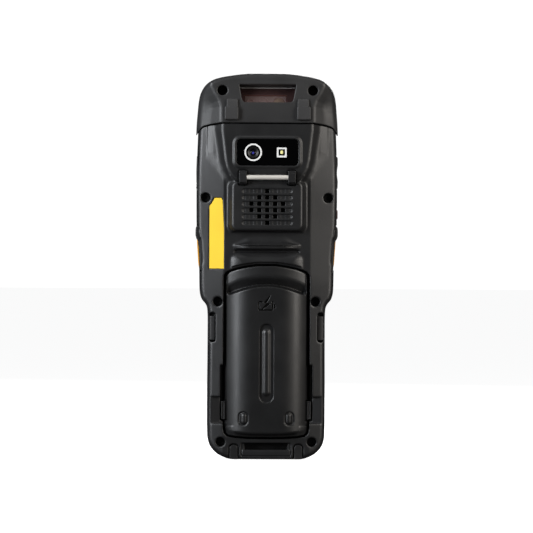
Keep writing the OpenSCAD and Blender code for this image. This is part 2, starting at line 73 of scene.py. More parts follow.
def spline(points, n=6):
    """A smooth closed curve through the points."""
    p = np.array(points, float)
    k = len(p)
    out = []
    for i in range(k):
        a, b, c, d = p[(i - 1) % k], p[i], p[(i + 1) % k], p[(i + 2) % k]
        ab, bc, cd = (max(np.linalg.norm(v), 1e-6) ** 0.5 for v in (b - a, c - b, d - c))
        m1 = (c - b) + bc * ((b - a) / ab - (c - a) / (ab + bc))
        m2 = (c - b) + bc * ((d - c) / cd - (d - b) / (bc + cd))
        for t in np.arange(n) / n:
            out.append((2 * t**3 - 3 * t**2 + 1) * b + (t**3 - 2 * t**2 + t) * m1
                       + (-2 * t**3 + 3 * t**2) * c + (t**3 - t**2) * m2)
    return np.array(out)


def mirrored(half):
    return [tuple(q) for q in half] + [(-q[0], q[1]) for q in reversed(half)]


def poly(u, v, points):
    """Signed distance in a plane to a closed polygon."""
    p = np.array(points, np.float32)
    u, v = np.broadcast_arrays(u, v)
    best = np.full(u.shape, 1e9, np.float32)
    inside = np.zeros(u.shape, bool)
    for (ax, ay), (bx, by) in zip(p, np.roll(p, -1, 0)):
        ex, ey = bx - ax, by - ay
        wx, wy = u - ax, v - ay
        t = np.clip((wx * ex + wy * ey) / max(ex * ex + ey * ey, 1e-12), 0, 1)
        best = np.minimum(best, (wx - t * ex) ** 2 + (wy - t * ey) ** 2)
        if by != ay:
            inside ^= ((ay > v) != (by > v)) & (u < ex * (v - ay) / (by - ay) + ax)
    d = np.sqrt(best)
    return np.where(inside, -d, d).astype(np.float32)


def rrect(u, v, cu, cv, w, h, r):
    qu, qv = np.abs(u - cu) - w / 2 + r, np.abs(v - cv) - h / 2 + r
    return np.hypot(np.maximum(qu, 0), np.maximum(qv, 0)) + np.minimum(np.maximum(qu, qv), 0) - r


def disc(u, v, cu, cv, r):
    return np.hypot(u - cu, v - cv) - r


class Part:
    """A solid on a grid, or a window of one."""

    def __init__(self, xs, ys, zs, f=None):
        self.ax = [xs, ys, zs]
        self.x, self.y, self.z = xs[:, None, None], ys[None, :, None], zs[None, None, :]
        self.f = np.full((len(xs), len(ys), len(zs)), 40, np.float32) if f is None else f

    def at(self, x0, x1, y0, y1, z0, z1):
        """The window of the grid between these planes; changes in it are changes in the solid."""
        s = []
        for ax, a, b in zip(self.ax, (x0, y0, z0), (x1, y1, z1)):
            i, j = np.searchsorted(ax, a), np.searchsorted(ax, b)
            s.append(slice(max(0, i - 1), min(len(ax), j + 1)))
        return Part(*(a[q] for a, q in zip(self.ax, s)), f=self.f[tuple(s)])

    def add(self, d, r=0.0):
        self.f[...] = rmin(self.f, d, r) if r else np.minimum(self.f, d)

    def cut(self, d, r=0.0):
        self.f[...] = rmax(self.f, -d, r) if r else np.maximum(self.f, -d)


CORNERS = [(i, j, k) for i in (0, 1) for j in (0, 1) for k in (0, 1)]
EDGES = [(a, b) for a in range(8) for b in range(a + 1, 8)
         if sum(abs(p - q) for p, q in zip(CORNERS[a], CORNERS[b])) == 1]


def skin(part, steps=2):
    """The closed surface of a solid: (points in mm, quads)."""
    f, ax = part.f.copy(), part.ax
    for i in range(3):  # close the solid at the grid's own sides
        for e in (0, -1):
            f[(slice(None),) * i + (e,)] = np.maximum(f[(slice(None),) * i + (e,)], 0.02)
    s = f < 0
    n = f.shape
    count = sum(s[i:n[0] - 1 + i, j:n[1] - 1 + j, k:n[2] - 1 + k].astype(np.int8) for i, j, k in CORNERS)
    cells = np.argwhere((count > 0) & (count < 8))
    number = np.full(count.shape, -1, np.int64)
    number[tuple(cells.T)] = np.arange(len(cells))
    pos = [np.stack([ax[c][cells[:, c] + q[c]] for c in range(3)], 1) for q in CORNERS]
    val = [f[cells[:, 0] + q[0], cells[:, 1] + q[1], cells[:, 2] + q[2]] for q in CORNERS]
    total, hits = np.zeros((len(cells), 3)), np.zeros(len(cells))
    for a, b in EDGES:
        m = (val[a] < 0) != (val[b] < 0)
        t = (val[a][m] / (val[a][m] - val[b][m]))[:, None]
        total[m] += pos[a][m] * (1 - t) + pos[b][m] * t
        hits[m] += 1
    points = total / hits[:, None]
    quads = []
    for c in range(3):
        d, e = (c + 1) % 3, (c + 2) % 3
        lo = [slice(None)] * 3
        hi = [slice(None)] * 3
        lo[c], hi[c] = slice(0, n[c] - 1), slice(1, n[c])
        lo[d] = hi[d] = slice(1, n[d] - 1)
        lo[e] = hi[e] = slice(1, n[e] - 1)
        a, b = s[tuple(lo)], s[tuple(hi)]
        for flip in (False, True):
            at = np.argwhere(b & ~a if flip else a & ~b)
            if not len(at):
                continue
            at[:, d] += 1
            at[:, e] += 1
            ring = []
            for dd, de in ((0, 0), (-1, 0), (-1, -1), (0, -1)):
                q = at.copy()
                q[:, d] += dd
                q[:, e] += de
                ring.append(number[tuple(q.T)])
            q = np.stack(ring, 1)
            quads.append(q[:, ::-1] if flip else q)
    quads = np.concatenate(quads)
    # settle the points on the surface
    for _ in range(steps):
        ix = [np.clip(np.searchsorted(ax[c], points[:, c]) - 1, 0, n[c] - 2) for c in range(3)]
        w = [ax[c][ix[c] + 1] - ax[c][ix[c]] for c in range(3)]
        t = [(points[:, c] - ax[c][ix[c]]) / w[c] for c in range(3)]
        v = [f[ix[0] + q[0], ix[1] + q[1], ix[2] + q[2]] for q in CORNERS]
        here, grad = 0, [0, 0, 0]
        for q, vq in zip(CORNERS, v):
            k = [t[c] if q[c] else 1 - t[c] for c in range(3)]
            here = here + vq * k[0] * k[1] * k[2]
            for c in range(3):
                o = [k[m] for m in range(3) if m != c]
                grad[c] = grad[c] + vq * (1 if q[c] else -1) / w[c] * o[0] * o[1]
        g = np.stack(grad, 1)
        g2 = np.maximum((g**2).sum(1), 0.05)
        move = -(here / g2)[:, None] * g
        step = np.linalg.norm(move, axis=1)
        limit = 0.35 * np.minimum(np.minimum(w[0], w[1]), w[2])
        points = points + move * np.minimum(1, limit / np.maximum(step, 1e-9))[:, None]
    return points, quads


def new_mesh(name, points, faces, smooth=True):
    """A mesh object from points in mm and an array of faces of one size."""
    points, faces = np.asarray(points, np.float64), np.asarray(faces, np.int64)
    me = bpy.data.meshes.new(name)
    me.vertices.add(len(points))
    me.vertices.foreach_set("co", (points * MM).astype(np.float32).ravel())
    k = faces.shape[1]
    me.loops.add(faces.size)
    me.loops.foreach_set("vertex_index", faces.astype(np.int32).ravel())
    me.polygons.add(len(faces))
    me.polygons.foreach_set("loop_start", np.arange(0, faces.size, k, dtype=np.int32))
    me.polygons.foreach_set("loop_total", np.full(len(faces), k, np.int32))
    me.polygons.foreach_set("use_smooth", np.full(len(faces), smooth, bool))
    me.update(calc_edges=True)
    me.validate()
    ob = bpy.data.objects.new(name, me)
    bpy.context.scene.collection.objects.link(ob)
    return ob


def thinned(ob, ratio):
    """Drops points where the surface is flat."""
    m = ob.modifiers.new("thin", "DECIMATE")
    m.ratio = ratio
    dg = bpy.context.evaluated_depsgraph_get()
    me = bpy.data.meshes.new_from_object(ob.evaluated_get(dg))
    old = ob.data
    ob.modifiers.clear()
    ob.data = me
    me.name = old.name
    bpy.data.meshes.remove(old)
    me.polygons.foreach_set("use_smooth", np.ones(len(me.polygons), bool))
    return ob


def moulded(name, part, ratio=0.4):
    return thinned(new_mesh(name, *skin(part)), ratio)


# ------------------------------------------------------------------ materials


def material(name, colour, rough=0.45, metallic=0.0, grain=0.0, grain_scale=3500.0, mottle=0.06,
             mottle_scale=60.0, spec=0.5, coat=0.0, coat_rough=0.1, rough_var=0.05, bump_dist=0.00006,
             wear=0.0, wear_colour=(0.3, 0.3, 0.3), alpha=1.0):
    """A node material: base colour with a faint mottle, uneven gloss, moulded grain and rubbed edges."""
    m = bpy.data.materials.new(name)
    m.use_nodes = True
    nt = m.node_tree
    nt.nodes.clear()
    out = nt.nodes.new("ShaderNodeOutputMaterial")
    b = nt.nodes.new("ShaderNodeBsdfPrincipled")
    nt.links.new(b.outputs[0], out.inputs[0])
    b.inputs["Metallic"].default_value = metallic
    b.inputs["Specular IOR Level"].default_value = spec
    b.inputs["Coat Weight"].default_value = coat
    b.inputs["Coat Roughness"].default_value = coat_rough
    b.inputs["Alpha"].default_value = alpha
    tc = nt.nodes.new("ShaderNodeTexCoord")
    big = nt.nodes.new("ShaderNodeTexNoise")
    big.inputs["Scale"].default_value = mottle_scale
    big.inputs["Detail"].default_value = 4
    nt.links.new(tc.outputs["Object"], big.inputs["Vector"])
    ramp = nt.nodes.new("ShaderNodeValToRGB")
    lo = [c * (1 - mottle) for c in colour]
    hi = [min(1, c * (1 + mottle)) for c in colour]
    ramp.color_ramp.elements[0].position, ramp.color_ramp.elements[1].position = 0.3, 0.7
    ramp.color_ramp.elements[0].color = (*lo, 1)
    ramp.color_ramp.elements[1].color = (*hi, 1)
    nt.links.new(big.outputs[0], ramp.inputs[0])
    colour_out = ramp.outputs[0]
    if wear:
        geo = nt.nodes.new("ShaderNodeNewGeometry")
        edge = nt.nodes.new("ShaderNodeMapRange")
        edge.inputs[1].default_value, edge.inputs[2].default_value = 0.52, 0.62
        edge.inputs[3].default_value, edge.inputs[4].default_value = 0.0, wear
        nt.links.new(geo.outputs["Pointiness"], edge.inputs[0])
        mix = nt.nodes.new("ShaderNodeMix")
        mix.data_type = "RGBA"
        mix.inputs[7].default_value = (*wear_colour, 1)
        nt.links.new(edge.outputs[0], mix.inputs[0])
        nt.links.new(colour_out, mix.inputs[6])
        colour_out = mix.outputs[2]
    nt.links.new(colour_out, b.inputs["Base Color"])
    rr_ = nt.nodes.new("ShaderNodeMapRange")
    rr_.inputs[1].default_value, rr_.inputs[2].default_value = 0.3, 0.7
    rr_.inputs[3].default_value, rr_.inputs[4].default_value = rough - rough_var, rough + rough_var
    nt.links.new(big.outputs[0], rr_.inputs[0])
    nt.links.new(rr_.outputs[0], b.inputs["Roughness"])
    if grain:
        fine = nt.nodes.new("ShaderNodeTexNoise")
        fine.inputs["Scale"].default_value = grain_scale
        fine.inputs["Detail"].default_value = 2
        nt.links.new(tc.outputs["Object"], fine.inputs["Vector"])
        bump = nt.nodes.new("ShaderNodeBump")
        bump.inputs["Strength"].default_value = grain
        bump.inputs["Distance"].default_value = bump_dist
        nt.links.new(fine.outputs[0], bump.inputs["Height"])
        nt.links.new(bump.outputs[0], b.inputs["Normal"])
    return m


def coat(ob, mat):
    ob.data.materials.clear()
    ob.data.materials.append(mat)
    return ob


M = {
    "housing": material("housing_plastic", (0.0095, 0.0096, 0.0101), rough=0.41, grain=0.35),
    "cap": material("cap_plastic", (0.020, 0.0198, 0.0202), rough=0.47, grain=0.4),
    "battery": material("battery_plastic", (0.0075, 0.0076, 0.0080), rough=0.38, grain=0.3),
    "rubber": material("black_rubber", (0.013, 0.013, 0.0135), rough=0.55, grain=0.3, spec=0.35),
    "bumper": material("bumper_rubber", (0.033, 0.0325, 0.033), rough=0.5, grain=0.3, spec=0.45),
    "trim": material("trim_plastic", (0.72, 0.33, 0.02), rough=0.38, grain=0.15),
    "screw": material("black_oxide", (0.012, 0.012, 0.012), rough=0.36, metallic=0.6, mottle=0.2),
    # pale base colour with little metallic: partly the steel's own colour, partly a painted reflection of a bright
    # surround on the chrome-like strap bar
    "steel": material("pale_steel_painted_reflection", (0.66, 0.635, 0.585), rough=0.42, metallic=0.25, mottle=0.05, grain=0.2, grain_scale=1800),
    "camera_glass": material("camera_glass", (0.0006, 0.0006, 0.0007), rough=0.09, spec=0.2, mottle=0.02, rough_var=0.02),
    "print": material("white_print", (0.75, 0.75, 0.74), rough=0.5, mottle=0.03),
    "lens": material("lens_glass", (0.004, 0.004, 0.008), rough=0.05, spec=0.4, rough_var=0.02),
    "lens_blue": material("lens_coating", (0.05, 0.05, 0.35), rough=0.12, coat=0.5, coat_rough=0.03),
    "lens_barrel": material("lens_barrel", (0.006, 0.0058, 0.006), rough=0.35, spec=0.35, mottle=0.1),
    "led": material("led_phosphor", (0.9, 0.85, 0.35), rough=0.5, mottle=0.1),
    "led_frame": material("led_frame", (0.02, 0.02, 0.02), rough=0.4),
    "label": material("label_film", (0.93, 0.62, 0.03), rough=0.5, spec=0.3, mottle=0.03),
    "red_window": material("red_window", (0.062, 0.034, 0.033), rough=0.12, spec=0.3, alpha=0.4),
    # pale grey bead colour: painted highlight, standing in for the light caught along the scan window ledge's lower
    # edge and its turned-up ends
    "bead_painted_highlight": material("bead_painted_highlight", (0.42, 0.41, 0.40), rough=0.4, mottle=0.08),
    "engine": material("engine_body", (0.24, 0.085, 0.05), rough=0.5, mottle=0.12),
    "engine_plate": material("engine_plate", (0.62, 0.50, 0.47), rough=0.5, mottle=0.08),
    "engine_lens": material("engine_lens", (0.06, 0.02, 0.015), rough=0.15, coat=0.4),
    "engine_light": material("engine_light", (0.62, 0.5, 0.36), rough=0.3, coat=0.4),
    "speaker": material("speaker_cloth", (0.006, 0.006, 0.006), rough=0.8, grain=0.6, grain_scale=2600),
    "display": material("display_glass", (0.006, 0.007, 0.009), rough=0.06, coat=0.5, coat_rough=0.02, mottle=0.02, rough_var=0.02),
    "panel": material("display_panel", (0.012, 0.014, 0.018), rough=0.3),
    "key": material("key_rubber", (0.034, 0.034, 0.036), rough=0.5, grain=0.25),
    "key_dark": material("key_rubber_dark", (0.05, 0.05, 0.052), rough=0.5, grain=0.25),
    "scan_key": material("scan_key_rubber", (0.75, 0.34, 0.02), rough=0.45, grain=0.25),
    "power": material("power_rubber", (0.05, 0.012, 0.01), rough=0.5, grain=0.2),
    "legend": material("legend_print", (0.72, 0.72, 0.70), rough=0.5, mottle=0.03),
    "board": material("solder_mask", (0.02, 0.12, 0.05), rough=0.3, mottle=0.15),
    "cell": material("cell_film", (0.12, 0.18, 0.25), rough=0.3, mottle=0.1),
    "gold": material("contact_gold", (0.83, 0.62, 0.26), rough=0.25, metallic=1.0),
    "tin": material("stamped_tin", (0.6, 0.6, 0.62), rough=0.35, metallic=1.0, grain=0.2),
    # near-black matte colour: painted shade for the floor of the sunk battery mark
    "mark_painted_shade": material("mark_painted_shade", (0.0015, 0.0015, 0.0016), rough=0.7, spec=0.08),
    "lug": material("lug_plastic", (0.0055, 0.0055, 0.006), rough=0.5, spec=0.4, grain=0.2),
    "dark": material("dark_plastic", (0.012, 0.012, 0.013), rough=0.5, grain=0.2),
}

# ------------------------------------------------------------------ outlines (mm)

BODY = [(9.4, 199.8), (19, 198.7), (24.2, 197.7), (27.7, 196.6), (31, 194.6), (32.9, 192.5), (34.3, 189.6),
        (35.1, 185.6), (35.5, 181), (35.8, 175), (36, 168), (36.3, 160), (36.6, 147), (36.6, 129), (36.5, 121.5),
        (36.1, 115), (35.8, 110), (35.4, 104), (35, 96), (34.8, 88), (34.4, 85.2), (33.5, 82.9), (32, 81.1),
        (31, 79.3), (30.6, 76.5), (30.5, 60), (30.5, 12.5), (30.1, 9.6), (29.2, 7.1), (27.6, 4.8), (25.5, 2.9),
        (23, 1.5), (20, 0.4), (16, 0)]
# the shells draw in beside the triggers, where the trim band shows
SHELL = BODY[:14] + [(36.5, 121.5), (36.2, 116.4), (35.9, 114.9), (35.3, 113.6), (35.05, 110), (34.7, 104.4),
                     (34.7, 102.4), (35.1, 100.9), (35.05, 98.6)] + BODY[18:]
CAP = [(9.4, 200.4), (19.1, 199.3), (24.5, 198.3), (28, 197.2), (31.3, 195.2), (33.2, 193.1), (34.8, 190),
       (35.7, 186), (36.2, 181), (36.7, 175), (36.95, 169), (37, 160), (37, 140)]
SEAM = [(-60, 174.7), (23.9, 174.7), (29.5, 173.9), (33.2, 172.9), (34.8, 171.7), (35.9, 170), (36.6, 168.5), (37.3, 168.0), (60, 168)]
PACK = [(5, 100.7), (10, 100), (15, 99), (19, 97.7), (20.9, 96.7), (21.7, 95.2), (21.8, 93), (21.8, 16),
        (21.3, 13.8), (19.8, 12.5), (16, 11.9), (8, 11.4)]
HUMP = [(23.4, 184), (23.4, 171), (22.5, 163.4), (21.6, 155.6), (20.6, 151.5), (18.8, 147.6), (16.8, 145), (14, 143.9)]
RAISED = [(24.2, 160), (24.2, 183.2), (25.2, 186.5), (27.3, 190), (28.8, 193), (30, 196), (30, 210)]
LABEL = [(27.4, 136), (23.7, 136), (22.95, 134.8), (22.2, 120), (22.2, 99), (30, 99), (30, 131.8), (28.7, 133.4)]
SCREWS = [(31.9, 136, 3.6), (25.4, 82, 4.6), (23.7, 9, 4.6)]
CAP_SCREW = (23.5, 191.6)
COS, SIN = math.cos(math.radians(40)), math.sin(math.radians(40))


def grown(points, g, middle=50):
    return [(q[0] + g, q[1] + (g if q[1] > middle else -g)) for q in points]


def drop(x, flat=7.0, k=0.027, k2=0.0):
    """How far a crowned surface has fallen at x."""
    return k * np.maximum(np.abs(x) - flat, 0) ** 2 + k2 * np.maximum(np.abs(x) - 14, 0) ** 2


def row(zs, at, values):
    return np.interp(zs, at, values).astype(np.float32)[None, None, :]


def wing(x, z):
    """Height of the rear shell's back beside the raised parts."""
    base = np.interp(z, [0, 84, 96, 125, 160], [8.75, 8.75, 9.0, 9.1, 9.3]).astype(np.float32)
    slope = np.interp(z, [84, 96, 120, 140, 160, 176], [0.25, 0.28, 0.28, 0.275, 0.325, 0.35]).astype(np.float32)
    return base - slope * np.maximum(np.abs(x) - 22.5, 0)


# ------------------------------------------------------------------ rear housing


def rear_housing():
    xs = axis((-37.4, -27, 0.4), (-27, -14.2, 0.33), (-14.2, 14.2, 0.2), (14.2, 27, 0.33), (27, 37.4, 0.4))
    ys = axis((-3.4, 4.4, 0.42), (4.4, 11.2, 0.33), (11.2, 13.8, 0.26))
    zs = axis((-0.6, 12, 0.36), (12, 58, 0.55), (58, 78, 0.42), (78, 98, 0.5), (98, 105, 0.34), (105, 113, 0.2), (113, 119, 0.32), (119, 143.2, 0.2), (143.2, 170, 0.3), (170, 176, 0.36))
    p = Part(xs, ys, zs)
    x, y, z = p.x, p.y, p.z
    ax_ = np.abs(x)
    side = poly(x, z, spline(mirrored(SHELL), 5))
    top = wing(x, z)
    r = row(zs, [0, 6, 14, 74, 84, 92, 200], [2.4, 2.4, 2.6, 2.6, 2.6, 2.4, 2.4])
    p.f[...] = rmax(side, y - top, r)
    # camera hump, its flanks running out into the wings
    w = p.at(-36, 36, 2, 14, 134, 176)
    d = poly(w.x, w.z, mirrored(HUMP))
    w.add(rmax(d * 0.73 + (w.y - 12.5) * 0.683, w.y - 12.5 + 0 * d, 0.9), 1.3)
    # its low skirt
    w = p.at(-31, 31, 2, 14, 138, 176)
    d = poly(w.x, w.z, mirrored([(27.8, 180), (27.6, 160), (25.3, 153), (22.6, 148), (21.4, 144), (21.0, 134)]))
    h = 9.2 - 0.19 * np.maximum(np.abs(w.x) - 22.5, 0)
    w.add(np.maximum(rmax(d * 0.26 + (w.y - h) * 0.965, w.y - h + 0 * d, 0.3), 138.5 - w.z), 0.3)
    # loudspeaker block
    w = p.at(-29, 29, 2, 14, 108, 154)
    d = rrect(w.x, w.z, 0, 131.7, 36.0, 24.8, 2.8)
    d = np.maximum(d * 0.84 + (w.y - 13) * 0.545, (119.2 - w.z) * 0.96 + (w.y - 13) * 0.28)
    w.add(rmax(d, w.y - 13 + 0 * d, 0.8), 0.7)
    # line between the hump and the block
    w = p.at(-23, 23, 9, 14, 140, 149)
    line = np.abs(w.z - 144.2 - np.maximum(np.abs(w.x) - 14.2, 0) ** 2 * 0.16) - 0.26
    w.cut(np.maximum(np.maximum(line, np.abs(w.x) - 19.4), 11.9 - w.y), 0.25)
    # finger ridges: a long upper flank over a bead, then a pillow above the battery
    w = p.at(-22, 22, 4, 14, 88, 121)
    t = np.abs(w.x) - 10
    fall = 0.23 * (t + np.sqrt(t * t + 3))
    prof = poly(w.y + fall, w.z, [(5, 117.0), (8.7, 116.4), (9.0, 115.4), (9.6, 114.3), (10.4, 113.2), (11.3, 112.3), (12.2, 111.6), (12.75, 111.15),
                                  (12.6, 110.7), (12.5, 109.7), (12.1, 109.1), (11.0, 108.8), (8, 108.6), (5, 108.5)])
    w.add(rmax(prof, rrect(w.x, w.z, 0, 112.2, 37.0, 8.4, 4.0) + 0 * w.y, 2.2), 1.0)
    w.cut(np.maximum(np.abs(w.z - 110.95) - 0.25, 11.4 - fall + 0.4 * np.maximum(np.abs(w.x) - 10.5, 0) - w.y), 0.1)
    prof = poly(w.y + 0 * w.x, w.z, [(5, 109), (7.4, 108.4), (8.6, 107.6), (9.7, 106.4), (10.5, 105.2), (11.0, 104.0), (11.2, 102.6), (11.2, 88), (5, 88)])
    rim = rrect(w.x, w.z, 0, 94, 38.2, 29.2, 5.0) * 0.49 + (w.y - 8.9) * 0.87
    w.add(rmax(prof, rim, 1.6), 0.4)
    w.cut(rmax(rmax(np.abs(w.z - 108.1) - 0.7, np.abs(w.x) - 17.0, 0.7), 8.1 - w.y, 0.4), 0.4)
    # camera bezel
    w = p.at(-21, 21, 9, 14, 148, 171)
    d = rrect(w.x, w.z, 0, 159.5, 35.0, 16.2, 3.6)
    w.add(rmax(d, w.y - 13.25, 0.75), 0.9)
    w.cut(np.maximum(rrect(w.x, w.z, 0, 159.5, 32.3, 13.8, 2.4), 11.5 - w.y), 0.3)
    for cx, rad in ((7.4, 4.1), (-7.4, 2.4)):
        w = p.at(cx - 6, cx + 6, 0, 14, 153, 166)
        w.cut(np.maximum(disc(w.x, w.z, cx, 159.5, rad), w.y - 20))
    # shallow hollow under the strap bar, and the pockets of its lugs
    w = p.at(-16, 16, 8, 14, 140, 153)
    w.cut(rmax(np.hypot(w.y - 19, w.z - 146.5) - 7.3, np.abs(w.x) - 11.4, 0.5), 0.4)
    for sx in (-1, 1):
        w.cut(np.maximum(rrect(w.x, w.z, sx * 12.75, 146.3, 4.8, 8.3, 0.9), 9.4 - w.y), 0.2)
    # loudspeaker grille: grooves with ribs, blind cells and through holes
    w = p.at(-15, 15, 9, 14, 119, 143)
    for i, holes in enumerate((1, 3, 5, 5, 3, 1)):
        zc = 131.2 + (2.5 - i) * 3.3
        g = w.at(-15, 15, 9, 14, zc - 2, zc + 2)
        g.cut(np.maximum(rrect(g.x, g.z, 0, zc, 25.9, 2.2, 1.08), 12.55 - g.y), 0.2)
        for c in range(-3, 4):
            through = abs(c) <= (holes - 1) / 2
            h = g.at(c * 4.1 - 1.6, c * 4.1 + 1.6, 8, 14, zc - 2, zc + 2)
            wide = 2.3 if abs(c) < 3 else 0.9
            h.cut(np.maximum(rrect(h.x, h.z, c * (4.1 if abs(c) < 3 else 3.95), zc, wide, 2.05, 0.2), (8.0 if through else 12.45) - h.y), 0.0 if through else 0.1)
    # battery bay
    w = p.at(-25, 25, -1, 14, 9, 104)
    bay = poly(w.x, w.z, mirrored(PACK))
    w.cut(np.maximum(bay - 0.75, 0 - w.y), 0.3)
    w.cut(np.maximum(np.maximum(bay - 1.9, 9.4 - w.y), 94 - w.z), 0.2)
    # inside of the shell
    inner = rmax(side + 1.8, y - top + 2.0, 3.0)
    keep = poly(x, z, mirrored(grown(PACK, 2.0)))
    hole = np.maximum(inner, -keep)
    hole = np.maximum(hole, -np.maximum(np.maximum(ax_ - 14, z - 12), -0.6 - y))
    hole = np.maximum(hole, -np.maximum(y * 0 + 168 - z, 3 - y))
    for a, b in ((23.6, (0.5, 59, 78)), (21, (2, 18, 50))):
        hole = np.maximum(hole, -np.maximum(np.maximum(a - ax_, b[0] - y), np.maximum(b[1] - z, z - b[2])))
    for sx, sz, _ in SCREWS:
        hole = np.maximum(hole, -disc(ax_, z, sx, sz, 3.4))
    p.cut(hole)
    w = p.at(-18, 18, 0, 12, 119, 166)
    w.cut(np.maximum(np.maximum(np.abs(w.x) - 15.4, np.abs(w.z - 142.5) - 22), np.maximum(w.y - 10.4, 2 - w.y)))
    # floor openings of the bay
    w = p.at(-14, 14, -4, 2, 12, 60)
    w.cut(np.maximum(np.abs(w.x) - 9.1, np.abs(w.z - 17) - 2.1))
    w.cut(np.maximum(np.abs(w.x) - 13.1, np.abs(w.z - 48.5) - 8.6))
    # counterbores with broken rims, and screw holes
    for sx, sz, head in SCREWS:
        for s in (-1, 1):
            w = p.at(s * sx - 4, s * sx + 4, -4, 14, sz - 4, sz + 4)
            w.cut(np.maximum(disc(w.x, w.z, s * sx, sz, 2.4), head - 2.2 - w.y), 0.55)
            w.cut(disc(w.x, w.z, s * sx, sz, 1.15))
    # label recess
    w = p.at(20, 32, 6, 10, 97, 138)
    w.cut(np.maximum(poly(w.x, w.z, LABEL), wing(w.x, w.z) - 0.42 - w.y), 0.15)
    # strap slot and its bar in the foot
    w = p.at(-15, 15, 0, 10, -1, 10.5)
    w.cut(np.maximum(rrect(w.x, w.z, 0, 4.9, 26.2, 7.2, 0.9), 8.1 - w.y), 0.2)
    w.add(rmax(rrect(w.x, w.z, 0, 3.3, 25.2, 3.2, 0.5), np.abs(w.y - 6.9) - 1.65, 0.4))
    w.cut(np.maximum(np.maximum(np.abs(w.x) - 11.3, w.z - 8.4), np.maximum(1.2 - w.y, w.y - 5.9)), 0.2)
    w.cut(np.maximum(rrect(w.x, w.z, 0, 6.7, 22.6, 3.4, 0.3), 5 - w.y), 0.25)
    # guide pockets, open at the foot, each with a rounded rib
    for s in (-1, 1):
        w = p.at(s * 16.8 - 4, s * 16.8 + 4, 5, 10, -1, 9.5)
        w.cut(np.maximum(rrect(w.x, w.z, s * 16.8, 1.9, 5.4, 12.4, 2.4), 7.3 - w.y), 0.4)
        w.add(rmax(rrect(w.x, w.z, s * 16.8, 1.5, 4.4, 12.4, 2.0), np.abs(w.y - 6.2) - 1.9, 0.45), 0.25)
    p.f[...] = np.maximum(np.maximum(p.f, side), 0.03 - z)
    # side recesses of the grip
    for s in (-1, 1):
        w = p.at(s * 29 - 6, s * 29 + 6, 2, 10, 58, 79)
        w.cut(np.maximum(rrect(w.x, w.z, s * 28.1, 68.6, 3.2, 15.4, 1.4), 4 - w.y), 0.3)
        w = p.at(s * 26 - 7, s * 26 + 7, 2, 10, 17, 52)
        w.cut(np.maximum(np.maximum(22.7 - w.x * s, np.abs(w.z - 25.5) - 6.9), 6.0 + 0.16 * (w.x * s - 22.7) - w.y), 0.25)
        w.cut(np.maximum(np.maximum(np.abs(w.x * s - 21.9) - 2.0, np.abs(w.z - 25.5) - 5.6), 3.4 - w.y), 0.15)
        w.cut(np.maximum(np.maximum(np.abs(w.x * s - 21.9) - 2.1, np.abs(w.z - 40) - 9.1), 3.4 - w.y), 0.2)
        # side key openings
        w = p.at(s * 36 - 6, s * 36 + 6, -4, 7, 95, 125)
        w.cut(np.maximum(np.abs(w.y - 1.2) - 3.4, np.abs(w.z - 110.2) - 11.6), 0.25)
        w.cut(np.maximum(np.maximum(np.abs(w.y - 1.35) - 3.7, np.abs(w.z - 110.2) - 12.6), w.x * s - 34.6))
    w = p.at(-38, -32, -4, 7, 122, 160)
    w.cut(rrect(w.y, w.z, 0.8, 149.2, 5.2, 18.4, 1.2) + 0 * w.x, 0.25)
    w.cut(rrect(w.y, w.z, 0.8, 127.5, 5.2, 6.6, 1.2) + 0 * w.x, 0.25)
    w = p.at(32, 38, -4, 7, 136, 160)
    w.cut(np.maximum(np.maximum(np.abs(w.y - 1) - 3.2, np.abs(w.z - 149.2) - 9.2), 35.2 - w.x), 0.25)
    w.cut(np.maximum(np.maximum(np.abs(w.y - 0.7) - 1.9, np.abs(w.z - 150.5) - 4.9), 20 - w.x))
    # the head cap's seam and the parting plane
    w = p.at(-38, 38, -4, 14, 166, 177)
    seam = poly(np.abs(w.x), w.z, [(q[0], q[1] - 0.3) for q in SEAM] + [(60, 220), (-60, 220)])
    w.cut(seam, 0.3)
    p.f[...] = rmax(p.f, -3 - y, 0.3)
    return moulded("rear_shell", p, 0.42)


